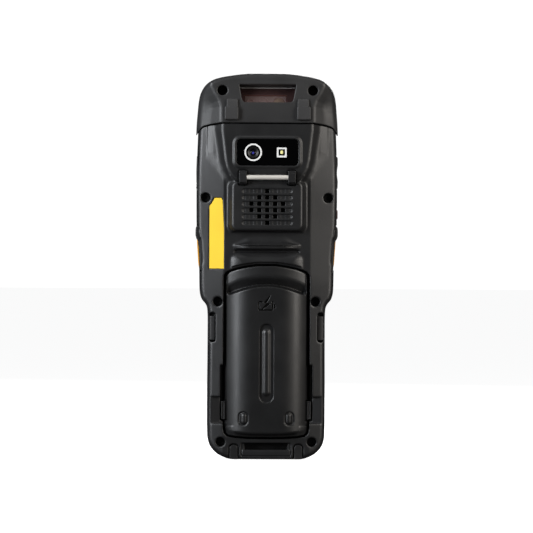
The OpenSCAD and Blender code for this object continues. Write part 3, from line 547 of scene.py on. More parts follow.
def top_cap():
    xs = axis((-37.6, -17, 0.4), (-17, 17, 0.3), (17, 37.6, 0.4))
    ys = axis((-3.4, 4, 0.42), (4, 14.2, 0.3))
    zs = axis((167.6, 201, 0.31))
    p = Part(xs, ys, zs)
    x, y, z = p.x, p.y, p.z
    ax_ = np.abs(x)
    side = poly(x, z, spline(mirrored(CAP), 5))
    level = row(zs, [160, 168, 180, 186, 190, 194, 198, 201], [8.8, 9.0, 9.4, 10.2, 11.1, 12.3, 13.0, 13.2]) \
        - 0.1 * np.maximum(ax_ - 25.5, 0) - 0.03 * np.maximum(ax_ - 25.5, 0) ** 2
    r = row(zs, [168, 186, 192, 197, 201], [2.6, 2.8, 3.2, 2.8, 2.5])
    raised = poly(x, z, mirrored(RAISED))
    mid = rmax(raised * 0.643 + (y - 13.5) * 0.766, y - 13.5 + 0 * raised, 0.8)
    p.f[...] = rmin(rmax(side, y - level, r), rmax(mid, side, 2.4), np.clip(-side * 0.5, 0.05, 0.9))
    p.f[...] = np.maximum(np.maximum(p.f, side), z - 200.35)
    # inside: room for the scan engine, less the window's seat and the screw posts
    yl = (y - 13.5) * COS + (z - 185.8) * SIN
    zl = -(y - 13.5) * SIN + (z - 185.8) * COS
    hole = np.minimum(rmax(side + 1.8, y - level + 2.1, 2.5),
                      np.maximum(np.maximum(ax_ - 19.6, z - 186), np.maximum(6 - y, y - 11.4)))
    hole = np.maximum(hole, -np.maximum(np.maximum(ax_ - 17.8, -4.2 - yl), np.abs(zl - 9) - 11))
    hole = np.maximum(hole, -disc(ax_, z, *CAP_SCREW, 3.5))
    hole = np.maximum(hole, -np.maximum(ax_ - 19, 195.8 - z))
    p.cut(hole)
    # sloping recess, closed at its head end by a ledge
    w = p.at(-18, 18, 2, 15, 180, 201)
    yl = (w.y - 13.5) * COS + (w.z - 185.8) * SIN
    zl = -(w.y - 13.5) * SIN + (w.z - 185.8) * COS
    ledge = (w.y - 7.0) * -0.167 + (w.z - 193.6) * 0.986
    d = poly(w.x, zl, mirrored([(14.1, 16.6), (13.2, 9.2), (11.5, 2.0)])) - 2.0
    w.cut(rmax(rmax(d, -1.2 - yl, 0.3), ledge, 0.35), 0.45)
    w.cut(np.maximum(np.maximum(np.abs(w.x) - 15.6, np.abs(yl + 1.85) - 0.75), np.abs(zl - 5.6) - 5.8))
    w = p.at(-15, 15, -2, 15, 176, 201)
    yl = (w.y - 13.5) * COS + (w.z - 185.8) * SIN
    zl = -(w.y - 13.5) * SIN + (w.z - 185.8) * COS
    w.cut(np.maximum(np.maximum(np.abs(w.x) - 14.2, np.abs(yl + 4.5) - 3.5), np.abs(zl - 5.9) - 5.3))
    for s in (-1, 1):
        w = p.at(s * 23.5 - 4, s * 23.5 + 4, -4, 15, 187, 197)
        w.cut(np.maximum(disc(w.x, w.z, s * 23.5, 191.6, 2.6), 2.2 - w.y), 0.5)
        w.cut(disc(w.x, w.z, s * 23.5, 191.6, 1.15))
    seam = poly(ax_, z, [(q[0], q[1] + 0.15) for q in SEAM] + [(60, 220), (-60, 220)])
    p.f[...] = rmax(p.f, seam + 0 * y, 0.3)
    p.f[...] = rmax(p.f, -3 - y, 0.3)
    return moulded("cap_shell", p, 0.45)


KEYS = [(-18 + 12 * k, 88.5, 9.6, 6.4) for k in range(4)] + [(-20, 73.5, 11, 9), (0, 73.5, 24, 11), (20, 73.5, 11, 9)] \
    + [(c, r, 10.6, 9.0) for r in (60, 46.5, 33, 19.5) for c in (-19.5, -6.5, 6.5, 19.5)]
KEY_NAMES = ["soft_1", "soft_2", "soft_3", "soft_4", "back", "scan", "enter", "1", "2", "3", "up", "4", "5", "6",
             "down", "7", "8", "9", "delete", "star", "0", "hash", "shift"]


def front_housing():
    xs = axis((-37.2, -7.2, 0.4), (-7.2, 7.2, 0.3), (7.2, 37.2, 0.4))
    ys = axis((-14.6, -2.6, 0.33))
    zs = axis((-0.5, 100, 0.4), (100, 186, 0.6), (186, 200.3, 0.33))
    p = Part(xs, ys, zs)
    x, y, z = p.x, p.y, p.z
    side = poly(x, z, spline(mirrored(SHELL), 5))
    p.f[...] = rmax(side, -14 - y, 4.2)
    p.f[...] = np.maximum(p.f, np.maximum(0.03 - z, z - 199.75))
    # raised rim round the display, shallow field round the keys
    w = p.at(-33, 33, -15, -13, 92, 194)
    rim = np.abs(rrect(w.x, w.z, 0, 142.5, 60.6, 97.6, 4.0)) - 1.0
    w.add(rmax(rim, -14.3 - w.y, 0.25), 0.5)
    w = p.at(-30, 30, -15, -13, 2, 96)
    w.cut(np.maximum(rrect(w.x, w.z, 0, 52.4, 53.6, 82.4, 5.5), w.y + 13.7), 0.25)
    p.f[...] = rmax(p.f, y + 3.0, 0.3)
    p.cut(np.maximum(-(side + 1.2), np.abs(y + 6.25) - 1.35), 0.25)
    p.cut(rmax(side + 2.4, -12.3 - y, 1.2))
    w = p.at(-32, 32, -15, -11, 90, 194)
    w.cut(np.maximum(rrect(w.x, w.z, 0, 142.5, 58.5, 95.5, 3.1), w.y + 12.8), 0.25)
    w.cut(rrect(w.x, w.z, 0, 142, 53, 87.6, 1.0) + 0 * w.y)
    for cx, cz, kw, kh in KEYS:
        w = p.at(cx - kw / 2 - 2, cx + kw / 2 + 2, -15, -11, cz - kh / 2 - 2, cz + kh / 2 + 2)
        w.cut(rrect(w.x, w.z, cx, cz, kw + 0.6, kh + 0.6, 2.3) + 0 * w.y, 0.3)
    # earpiece slots, microphone, dock opening
    for cx in (-6, -3, 0, 3, 6):
        w = p.at(cx - 2, cx + 2, -15, -10, 192, 197)
        w.cut(rrect(w.x, w.z, cx, 194.7, 1.8, 1.0, 0.45) + 0 * w.y, 0.25)
    w = p.at(-2, 2, -15, -10, 7, 11)
    w.cut(disc(w.x, w.z, 0, 8.2, 0.6) + 0 * w.y, 0.2)
    w = p.at(-12, 12, -12, -6, -1, 4)
    w.cut(np.maximum(rrect(w.x, w.y, 0, -9.25, 20.4, 2.7, 0.4) + 0 * w.z, w.z - 3.2), 0.25)
    for sx, sz in [(q[0], q[1]) for q in SCREWS] + [CAP_SCREW]:
        for s in (-1, 1):
            w = p.at(s * sx - 4, s * sx + 4, -13, -3, sz - 4, sz + 4)
            w.add(np.maximum(disc(w.x, w.z, s * sx, sz, 2.4), np.maximum(-12.6 - w.y, w.y + 3.6)))
            w.cut(np.maximum(disc(w.x, w.z, s * sx, sz, 1.0), -11.6 - w.y))
    return moulded("front_shell", p, 0.4)


def battery_case():
    xs = axis((-22, -5.6, 0.3), (-5.6, 5.6, 0.15), (5.6, 22, 0.3))
    ys = axis((1.4, 6.4, 0.45), (6.4, 11.8, 0.3), (11.8, 13.3, 0.14))
    zs = axis((10.8, 28, 0.3), (28, 74, 0.42), (74, 92, 0.16), (92, 101.2, 0.3))
    p = Part(xs, ys, zs)
    x, y, z = p.x, p.y, p.z
    ye = y + drop(x, k2=0.014)
    d = poly(x, z, mirrored([(q[0], q[1] + (1.3 if q[1] < 14 else 0)) for q in PACK])) + 0.2
    r = row(zs, [11, 15, 22, 90, 100], [1.6, 1.6, 1.3, 1.1, 1.1])
    p.f[...] = rmax(d, ye - 13, r)
    # lip along the foot end
    w = p.at(-22, 22, 1, 10, 10, 17)
    yw = w.y + drop(w.x)
    lip = poly(w.x, w.z, mirrored(PACK)) + 0.2
    w.add(rmax(rmax(lip, w.y - 10.2, 0.5), yw - 12.5, 0.5), 1.2)
    p.f[...] = rmax(p.f, 1.7 - y, 0.3)
    # finger scoop, its lower lip an arc
    w = p.at(-23, 23, 4, 14, 84, 102)
    yw = w.y + 0.0105 * w.x**2
    s = w.z - 90.4 + 3.6 * (w.x / 17.3) ** 2
    bowl = poly(yw, s, [(8.2, 0.5), (8.3, 0.8), (8.8, 1.4), (9.5, 2.3), (10.3, 3.2), (10.9, 4.0), (11.25, 4.9), (11.4, 6.0), (11.4, 30), (22, 30), (22, -2.6)])
    w.cut(rmax(bowl, np.abs(w.x) - 20.8, np.interp(s, [1.5, 5], [2.4, 0.9]).astype(np.float32)), 0.6)
    # long groove with a half-round rib
    w = p.at(-6, 6, 10, 14, 27, 73)
    w.cut(np.maximum(rrect(w.x, w.z, 0, 50, 7.4, 40.8, 3.6), 12.0 - w.y), 0.3)
    w.add(np.sqrt(w.x**2 + (w.y - 10.35) ** 2 + np.maximum(np.abs(w.z - 50.4) - 15.4, 0) ** 2) - 2.66, 0.25)
    # thumb dimples
    for s_ in (-1, 1):
        w = p.at(s_ * 11.9 - 4, s_ * 11.9 + 4, 9, 14, 15, 26)
        yw = w.y + drop(w.x)
        w.cut(np.maximum(rrect(w.x, w.z, s_ * 11.9, 21.2, 5.0, 7.4, 2.45), 12.2 - yw), 0.2)
        w.add(np.sqrt(np.maximum(np.abs(w.x - s_ * 11.9) - 0.2, 0) ** 2 + (yw - 11.3) ** 2
                      + np.maximum(np.abs(w.z - 21.2) - 1.5, 0) ** 2) - 1.7, 0.1)
    # sunk battery mark with a bolt
    w = p.at(-5.6, 5.6, 12, 14, 75, 86.2)
    w.cut(np.maximum(battery_mark(w.x, w.z), 12.3 - w.y), 0.08)
    # inside of the case and the pockets of its latches
    p.cut(np.maximum(rrect(x, z, 0, 54, 36, 62, 2) + 0 * y, ye - 11.5))
    for s_ in (-1, 1):
        w = p.at(s_ * 21 - 4, s_ * 21 + 4, 2.2, 8.6, 19, 32)
        w.cut(np.maximum(np.maximum(17.7 - w.x * s_, np.abs(w.z - 25.5) - 5.3), np.abs(w.y - 5.25) - 2.15), 0.1)
    return moulded("battery_shell", p, 0.45)


def battery_mark(x, z):
    """Outline of the sunk mark: a cell with its pole, crossed by a bolt."""
    box = rrect(x, z, 0.5, 79.8, 7.8, 5.0, 0.9)
    mark = np.maximum(np.abs(box + 0.35) - 0.35, -rrect(x, z, -0.2, 82.2, 4.6, 2.0, 0.2))
    mark = np.minimum(mark, rrect(x, z, -4.1, 79.8, 0.8, 2.4, 0.3))
    bolt = poly(x, z, [(-1.9, 85.2), (1.4, 81.6), (-0.1, 81.1), (2.9, 77.7), (-1.6, 80.7), (0.1, 81.5)])
    return np.minimum(mark, bolt - 0.12)


def lump(name, bounds_, shape, h=0.25, ratio=0.5):
    """A small solid on its own even grid: shape(x, y, z) is its signed distance."""
    (x0, x1), (y0, y1), (z0, z1) = bounds_
    p = Part(axis((x0, x1, h)), axis((y0, y1, h)), axis((z0, z1, h)))
    p.f[...] = shape(p.x, p.y, p.z)
    return moulded(name, p, ratio)


def put(ob, mat, body, slot_name, *nodes):
    coat(ob, M[mat] if isinstance(mat, str) else mat)
    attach(ob, body)
    if nodes:
        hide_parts(*nodes)
    return ob


def flip(ob, name):
    """A copy mirrored in X."""
    me = ob.data.copy()
    co = np.empty(len(me.vertices) * 3, np.float32)
    me.vertices.foreach_get("co", co)
    co[0::3] *= -1
    me.vertices.foreach_set("co", co)
    me.flip_normals()
    me.update()
    twin = bpy.data.objects.new(name, me)
    me.name = name
    bpy.context.scene.collection.objects.link(twin)
    return twin


def joined(name, obs):
    """Several loose solids as one piece."""
    points, faces, n = [], [], 0
    for ob in obs:
        points += [tuple(v.co / MM) for v in ob.data.vertices]
        faces += [[i + n for i in f.vertices] for f in ob.data.polygons]
        n += len(ob.data.vertices)
        bpy.data.objects.remove(ob)
    me = bpy.data.meshes.new(name)
    me.from_pydata([tuple(c * MM for c in q) for q in points], [], faces)
    me.polygons.foreach_set("use_smooth", np.ones(len(me.polygons), bool))
    me.update()
    ob = bpy.data.objects.new(name, me)
    bpy.context.scene.collection.objects.link(ob)
    return ob


def plate(name, outline, back, front, edge=0.0, place=None):
    """A flat piece of any outline in the XZ plane between two heights (numbers or functions of x, z), its front edge broken."""
    f0 = back if callable(back) else (lambda a, b: back)
    f1 = front if callable(front) else (lambda a, b: front)
    c = np.mean(outline, axis=0)
    rings = []
    inner = [(q[0] + (c[0] - q[0]) * 0.0, q[1]) for q in outline]
    n = len(outline)
    o = np.array(outline, float)
    e = np.roll(o, -1, 0) - o
    nrm = np.stack([e[:, 1], -e[:, 0]], 1) / np.linalg.norm(e, axis=1)[:, None]
    vn = nrm + np.roll(nrm, 1, 0)
    vn = vn / np.maximum((vn**2).sum(1) / 2, 0.3)[:, None]
    area = 0.5 * np.sum(o[:, 0] * np.roll(o[:, 1], -1) - np.roll(o[:, 0], -1) * o[:, 1])
    inward = -vn if area > 0 else vn
    ins = o + inward * edge
    sign = 1 if f1(*o[0]) > f0(*o[0]) else -1
    points = [(q[0], f0(*q), q[1]) for q in o] + [(q[0], f1(*q) - sign * edge, q[1]) for q in o]
    points += [(q[0], f1(*q), q[1]) for q in ins]
    faces = [list(range(n)), list(range(3 * n - 1, 2 * n - 1, -1))]
    for i in range(n):
        j = (i + 1) % n
        faces.append([j, i, n + i, n + j])
        faces.append([n + j, n + i, 2 * n + i, 2 * n + j])
    if place:
        points = [place(q) for q in points]
    me = bpy.data.meshes.new(name)
    me.from_pydata([tuple(v * MM for v in q) for q in points], [], faces)
    bm = bmesh.new()
    bm.from_mesh(me)
    bmesh.ops.recalc_face_normals(bm, faces=bm.faces)
    bm.to_mesh(me)
    bm.free()
    ob = bpy.data.objects.new(name, me)
    bpy.context.scene.collection.objects.link(ob)
    return ob


def swept(name, path, section):
    """A closed ring: the section, points of (outwards, y), is carried along the closed path in the XZ plane."""
    o = np.array(path, float)
    t = np.roll(o, -1, 0) - np.roll(o, 1, 0)
    nrm = np.stack([t[:, 1], -t[:, 0]], 1) / np.linalg.norm(t, axis=1)[:, None]
    area = 0.5 * np.sum(o[:, 0] * np.roll(o[:, 1], -1) - np.roll(o[:, 0], -1) * o[:, 1])
    if area < 0:
        nrm = -nrm
    n, k = len(o), len(section)
    points = [(o[i, 0] + nrm[i, 0] * a, b, o[i, 1] + nrm[i, 1] * a) for i in range(n) for a, b in section]
    faces = [(i * k + j, i * k + (j + 1) % k, ((i + 1) % n) * k + (j + 1) % k, ((i + 1) % n) * k + j)
             for i in range(n) for j in range(k)]
    ob = new_mesh(name, points, faces, smooth=False)
    bm = bmesh.new()
    bm.from_mesh(ob.data)
    bmesh.ops.recalc_face_normals(bm, faces=bm.faces)
    bm.to_mesh(ob.data)
    bm.free()
    return ob


def turned(name, profile, cx, cz, n=64):
    """A piece turned about an axis along Y: profile of (radius, y) from the axis outwards and back."""
    ring = [i for i, q in enumerate(profile) if q[0] > 0]
    points, index = [], {}
    for i, (r_, y_) in enumerate(profile):
        if r_ > 0:
            index[i] = [len(points) + k for k in range(n)]
            points += [(cx + r_ * math.cos(2 * math.pi * k / n), y_, cz + r_ * math.sin(2 * math.pi * k / n)) for k in range(n)]
        else:
            index[i] = [len(points)] * n
            points.append((cx, y_, cz))
    faces = []
    m = len(profile)
    closed = profile[0][0] > 0 and profile[-1][0] > 0
    for i in range(m if closed else m - 1):
        a, b = index[i], index[(i + 1) % m]
        for k in range(n):
            q = [a[k], a[(k + 1) % n], b[(k + 1) % n], b[k]]
            q = [v for j, v in enumerate(q) if v not in q[:j]]
            if len(q) > 2:
                faces.append(q)
    me = bpy.data.meshes.new(name)
    me.from_pydata([tuple(v * MM for v in q) for q in points], [], faces)
    bm = bmesh.new()
    bm.from_mesh(me)
    bmesh.ops.recalc_face_normals(bm, faces=bm.faces)
    for f in bm.faces:
        f.smooth = True
    for e in bm.edges:
        if len(e.link_faces) == 2 and e.calc_face_angle() > 0.6:
            e.smooth = False
    bm.to_mesh(me)
    bm.free()
    ob = bpy.data.objects.new(name, me)
    bpy.context.scene.collection.objects.link(ob)
    return ob


def round_rect(cx, cz, w, h, r, n=6):
    out = []
    for q in range(4):
        for i in range(n + 1):
            a = math.radians(90 - 90 * q - 90 * i / n)
            sx, sz = (1 if q < 2 else -1), (1 if q in (0, 3) else -1)
            out.append((cx + sx * (w / 2 - r) + r * math.cos(a), cz + sz * (h / 2 - r) + r * math.sin(a)))
    return out


put(rear_housing(), "housing", "terminal", "housing", "rear_housing")
put(top_cap(), "cap", "terminal", "cap", "top_cap")
put(front_housing(), "housing", "terminal", "housing", "front_housing")
put(battery_case(), "battery", "battery", "housing", "battery_case")
# near-black sheet laid in the sunk mark: painted shade in the recess
put(lump("battery_mark_shade_sheet", ((-5.2, 4.8), (11.9, 12.6), (76.6, 85.6)),
         lambda x, y, z: np.maximum(battery_mark(x, z) - 0.05, np.abs(y - 12.3) - 0.2), 0.13, 0.5),
    "mark_painted_shade", "battery", "housing", "battery_case")

# ------------------------------------------------------------------ trim band and gasket

path = spline(mirrored(BODY), 5)
beside = np.interp(path[:, 1], [99.5, 101.5, 114.2, 115.8], [0, 1, 1, 0])
tang = np.roll(path, -1, 0) - np.roll(path, 1, 0)
outw = np.stack([tang[:, 1], -tang[:, 0]], 1) / np.linalg.norm(tang, axis=1)[:, None]
if np.sum(path[:, 0] * np.roll(path[:, 1], -1) - np.roll(path[:, 0], -1) * path[:, 1]) < 0:
    outw = -outw
band_path = path + outw * (-0.12 + 0.42 * beside)[:, None]
band_path[:, 1] = np.clip(band_path[:, 1], 0.05, 200.3)
put(swept("trim_ring", band_path, [(-1.0, -7.5), (-0.3, -7.5), (0, -7.1), (0, -5.4), (-0.3, -5), (-1.0, -5)]),
    "trim", "terminal", "trim", "trim_band")

# ------------------------------------------------------------------ camera window, lens and flash


def glass(x, y, z):
    d = rmax(rrect(x, z, 0, 159.5, 31.9, 13.4, 2.25), np.abs(y - 12.2) - 0.6, 0.22)
    d = rmax(d, -(disc(x, z, 7.4, 159.5, 3.55) + 0 * y), 0.12)
    return rmax(d, -(rrect(x, z, -7.4, 159.5, 3.1, 3.1, 0.3) + 0 * y), 0.12)


put(lump("camera_glass", ((-16.3, 16.3), (11.3, 13.1), (152.5, 166.5)), glass, 0.2, 0.35),
    "camera_glass", "terminal", "black_glass", "camera_window")
put(turned("lens_ring", [(3.75, 12.79), (3.75, 12.86), (4.55, 12.86), (4.55, 12.79)], 7.4, 159.5),
    "print", "terminal", "black_glass", "camera_window")
frame_out, frame_in = round_rect(-7.4, 159.5, 5.1, 5.1, 0.25, 3), round_rect(-7.4, 159.5, 3.3, 3.3, 0.12, 3)
k = len(frame_out)
pts = [(q[0], 12.86, q[1]) for q in frame_out] + [(q[0], 12.86, q[1]) for q in frame_in] \
    + [(q[0], 12.79, q[1]) for q in frame_out] + [(q[0], 12.79, q[1]) for q in frame_in]
fcs = []
for i in range(k):
    j = (i + 1) % k
    fcs += [(i, k + i, k + j, j), (2 * k + i, 2 * k + j, 3 * k + j, 3 * k + i), (i, j, 2 * k + j, 2 * k + i),
            (k + i, 3 * k + i, 3 * k + j, k + j)]
put(new_mesh("flash_frame", pts, fcs, smooth=False), "print", "terminal", "black_glass", "camera_window")
put(turned("lens_barrel", [(0, 6.4), (3.2, 6.4), (3.2, 12.1), (3.05, 12.25), (2.75, 12.25), (2.7, 11.9), (2.25, 11.7), (2.2, 11.2),
                           (1.75, 10.9), (1.7, 10.3), (0, 10.3)], 7.4, 159.5),
    "lens_barrel", "terminal", "lens", "camera_module")
put(turned("lens_front", [(0, 11.25), (0.5, 11.2), (1.1, 11.02), (1.6, 10.75), (1.72, 10.5), (0, 10.4)], 7.4, 159.5),
    "lens", "terminal", "lens", "camera_module")
put(turned("lens_pupil", [(0, 11.34), (0.3, 11.32), (0.55, 11.24), (0.6, 11.1), (0, 11.1)], 7.4, 159.2),
    "lens_blue", "terminal", "lens", "camera_module")
put(lump("camera_base", ((3.2, 11.6), (3.4, 6.7), (155.3, 163.7)),
         lambda x, y, z: rmax(rrect(x, z, 7.4, 159.5, 8, 8, 0.8), np.abs(y - 5) - 1.4, 0.3), 0.35, 0.3),
    "lens_barrel", "terminal", "lens", "camera_module")
put(lump("flash_base", ((-10.6, -4.2), (7.6, 11.5), (156.3, 162.7)),
         lambda x, y, z: np.minimum(rmax(rrect(x, z, -7.4, 159.5, 6, 6, 0.5), np.abs(y - 8.4) - 0.6, 0.2),
                                    rmax(rrect(x, z, -7.4, 159.5, 2.9, 2.9, 0.3), np.abs(y - 10) - 1.3, 0.2)), 0.2, 0.3),
    "led_frame", "terminal", "led", "flash_led")
put(lump("flash_emitter", ((-8.8, -6), (10.9, 12.7), (158, 161)),
         lambda x, y, z: rmax(rrect(x, z, -7.4, 159.6, 1.5, 1.8, 0.4), np.abs(y - 11.8) - 0.6, 0.3), 0.12, 0.4),
    "led", "terminal", "led", "flash_led")

# ------------------------------------------------------------------ scan window and engine, in the window's own frame


def leaned(q):
    return (q[0], 13.5 + q[1] * COS - q[2] * SIN, 185.8 + q[1] * SIN + q[2] * COS)


def lean(ob):
    me = ob.data
    co = np.empty(len(me.vertices) * 3, np.float32)
    me.vertices.foreach_get("co", co)
    co = co.reshape(-1, 3) / MM
    out = np.stack(leaned(co.T), 1) * MM
    me.vertices.foreach_set("co", out.astype(np.float32).ravel())
    me.update()
    return ob


put(plate("scan_pane", mirrored([(15.1, 10.7), (15.4, 10.3), (13.9, 0.5), (13.4, 0.1)]), -2.4, -1.5, 0.12, leaned),
    "red_window", "terminal", "red_window", "scan_window")


def highlight_bead(x, y, z):
    """Thin bead between the ledge and the window, its ends turned up, coloured pale as a painted highlight of the
    ledge's lit lower edge.
    """
    a = np.maximum(np.abs(x) - 14.1, 0)
    return np.sqrt(np.maximum(a - 0.9, 0) ** 2 + (y - 6.1) ** 2 + (z - 193.15 - a * 1.9) ** 2) - 0.22 - 0.2 * np.minimum(a, 1)


# the pale bead under the ledge is a painted highlight line, not a real seal
put(lump("bead_painted_highlight", ((-15.8, 15.8), (5.3, 7.0), (192.4, 196.2)), highlight_bead, 0.2, 0.4), "bead_painted_highlight", "terminal", "red_window", "scan_window")
put(lean(lump("engine_body", ((-11.4, 13.2), (-11.8, -5.0), (-1.4, 10.6)),
              lambda x, y, z: rmax(rrect(x, z, 1.0, 4.6, 22.8, 11.0, 0.8), np.abs(y + 8.4) - 3.0, 0.4), 0.4, 0.3)),
    "engine", "terminal", "engine", "scan_engine")


def engine_face(x, y, z):
    d = rmax(rrect(x, z, 1.0, 3.6, 21.6, 8.8, 0.7), np.abs(y + 5.1) - 0.55, 0.2)
    for cx, rad in ((9, 1.4), (1.9, 2.3), (-6.2, 3.05)):
        d = rmax(d, -(disc(x, z, cx, 3.9, rad) + 0 * y), 0.15)
        d = np.minimum(d, rmax(np.abs(disc(x, z, cx, 3.9, rad + 0.3)) - 0.25, np.abs(y + 4.6) - 0.3, 0.1))
    return d


put(lean(lump("engine_face", ((-10.2, 12.2), (-6.0, -4.1), (-1.2, 8.4)), engine_face, 0.2, 0.35)),
    "engine_plate", "terminal", "engine", "scan_engine")
for nm, cx, rad, mat, rise in (("aimer_lens", 9, 1.3, "engine_plate", 0.4), ("imager_lens", 1.9, 2.2, "engine_plate", 0.8),
                               ("light_lens", -6.2, 2.95, "engine_light", 1.0)):
    dome = [(0, -4.9 + rise)] + [(rad * math.sin(t), -4.9 + rise * math.cos(t)) for t in np.radians([15, 30, 45, 60, 75, 90])] \
        + [(rad, -5.5), (0, -5.5)]
    put(lean(turned(nm, dome, cx, 3.9, 40)), mat, "terminal", "engine", "scan_engine")

# ------------------------------------------------------------------ bumpers, lugs, label, inserts


def bumper(x, y, z):
    big = rmax(rrect(x, z, 18.8, 179.6, 7, 7.2, 0.8), np.abs(y - 14.2) - 1.3, 0.4)
    big = rmax(big, (176.0 - z) * 0.9 + (y - 15.5) * 0.43 + 0.55, 0.3)
    small = rmax(rrect(x, z, 18.4, 184.6, 5.8, 5.4, 0.6), np.abs(y - 13.7) - 0.9, 0.35)
    small = rmax(small, (z - 187.3) * 0.5 + (y - 14.6) * 0.866 + 0.45, 0.3)
    return rmin(big, small, 0.2)


def lug(x, y, z):
    d = rmax(rrect(x, z, 12.75, 146.3, 4.3, 7.6, 0.8), np.abs(y - 12.35) - 2.85, 0.5)
    d = rmax(d, -np.maximum(np.maximum(np.abs(z - 148.6) - 0.22, 14.5 - y), np.abs(x - 12.75) - 9), 0.12)
    d = rmax(d, -np.maximum(np.maximum(np.abs(z - 143.9) - 0.22, 14.5 - y), np.abs(x - 12.75) - 9), 0.12)
    d = rmax(d, -(np.hypot(y - 14, z - 146.5) - 1.3 + 0 * x), 0.2)
    d = rmax(d, (143.6 - z) * 0.85 + (y - 15.2) * 0.53, 0.3)
    cap_ = rmax(rrect(x, z, 12.7, 146.3, 3.9, 5.0, 0.5), np.abs(y - 12.5) - 2.9, 0.3)
    return np.minimum(d, cap_)


a = lump("bumper_a", ((15, 22.6), (12.8, 15.6), (175.7, 187.6)), bumper, 0.22, 0.35)
put(joined("bumpers", [flip(a, "bumper_b"), a]), "bumper", "terminal", "cap", "cap_bumpers")
a = lump("lug_a", ((10.3, 15.2), (9.3, 15.5), (142.2, 150.4)), lug, 0.17, 0.35)
put(joined("lugs", [flip(a, "lug_b"), a]), "lug", "terminal", "housing", "strap_lugs")

put(plate("label", grown(LABEL, 0)[:0] + [(q[0] + (-0.15 if q[0] > 26 else 0.15), q[1] + (-0.15 if q[1] > 118 else 0.15)) for q in LABEL],
          lambda a, b: float(wing(a, b)) - 0.42, lambda a, b: float(wing(a, b)) - 0.12, 0.06),
    "label", "terminal", "label", "label_plate")


def insert(x, y, z):
    d = rmax(np.hypot((x - 28.0) * 0.62, y - 3.6) - 2.5, np.abs(x - 28.1) - 1.42, 0.4)
    return rmax(rmax(d, np.abs(z - 68.2) - 6.3, 0.5), 4.05 - y, 0.1)


a = lump("insert_a", ((26.6, 31.2), (3.8, 6.6), (61.6, 75.2)), insert, 0.2, 0.35)
put(joined("inserts", [flip(a, "insert_b"), a]), "bumper", "terminal", "cap", "grip_inserts")

# ------------------------------------------------------------------ latches, side keys, port flap


def latch(x, y, z):
    lip = poly(x, z, [(21.3, 30.4), (23.1, 30.1), (23.3, 29.7), (23.3, 21.3), (23.1, 20.9), (21.3, 20.6)])
    d = rmax(lip, np.abs(y - 5.6) - 1.5, 0.3)
    d = rmax(d, -np.maximum(np.maximum(np.abs(x - 22.4) - 0.35, np.abs(z - 25.5) - 4.2), 6.6 - y), 0.2)
    return np.minimum(d, rmax(np.maximum(np.abs(x - 20.7) - 0.95, np.abs(z - 25.5) - 4.9), np.abs(y - 5.05) - 1.45, 0.15))


a = lump("latch_r", ((19.5, 23.5), (3.4, 7.3), (20.3, 30.8)), latch, 0.16, 0.35)
b = flip(a, "latch_l")
put(a, "housing", "latch_right", "cap", "battery_latch_right")
put(b, "housing", "latch_left", "cap", "battery_latch_left")

TRIGGER = [(34.0, 121.5), (36.3, 121.5), (36.9, 120.6), (37.1, 119.2), (37.1, 116.4), (36.7, 114.9), (35.75, 113.4), (35.35, 109),
           (35.05, 103.6), (34.85, 99.8), (34.4, 98.9), (34.0, 98.9)]


def trigger(x, y, z):
    d = rmax(poly(x, z, TRIGGER), np.abs(y - 1.2) - 3.1, 0.7)
    for k_ in range(4):
        d = rmax(d, -np.maximum(np.abs(z - 101.8 - 2.3 * k_) - 0.3, np.maximum(34.95 + 0.09 * k_ - x, np.abs(y - 1.2) - 2.1)), 0.12)
    foot = rmax(np.abs(x - 33.7) - 0.6, np.maximum(np.abs(y - 1.35) - 3.4, np.abs(z - 110.2) - 12.1), 0.2)
    return np.minimum(d, foot)


a = lump("trigger_r", ((32.9, 37.3), (-2.8, 5.3), (97.9, 122.5)), trigger, 0.22, 0.35)
b = flip(a, "trigger_l")
put(a, "rubber", "trigger_r", "rubber", "trigger_right")
put(b, "rubber", "trigger_l", "rubber", "trigger_left")


def rocker(x, y, z):
    d = poly(x, z, [(-34.6, 157.8), (-36.5, 157.8), (-36.9, 157), (-37, 153.6), (-36.55, 150.2), (-36.55, 148.2), (-37, 144.8),
                    (-36.9, 141.4), (-36.5, 140.6), (-34.6, 140.6)])
    d = rmax(d, np.abs(y - 0.8) - 2.1, 0.6)
    plus = np.minimum(np.maximum(np.abs(z - 154.2) - 0.22, np.abs(y - 0.8) - 0.9), np.maximum(np.abs(z - 154.2) - 0.9, np.abs(y - 0.8) - 0.22))
    minus = np.maximum(np.abs(z - 144.2) - 0.9, np.abs(y - 0.8) - 0.22)
    return rmax(d, -np.maximum(np.minimum(plus, minus), x + 36.75), 0.08)


put(lump("rocker_key", ((-37.2, -34.4), (-1.6, 3.2), (140.3, 158.1)), rocker, 0.17, 0.35),
    "rubber", "rocker", "rubber", "volume_rocker")
put(lump("power_button", ((-37.2, -34.0), (-1.6, 3.2), (124.4, 130.6)),
         lambda x, y, z: rmax(rmax(poly(x, z, [(-34.2, 130.3), (-36.5, 130.3), (-37, 129.4), (-37, 125.6), (-36.5, 124.7), (-34.2, 124.7)]),
                                   np.abs(y - 0.8) - 2.1, 0.6),
                              -np.maximum(np.abs(np.hypot(y - 0.8, z - 127.5) - 1.0) - 0.18, x + 36.8), 0.08), 0.16, 0.35),
    "power", "power", "power", "power_key")


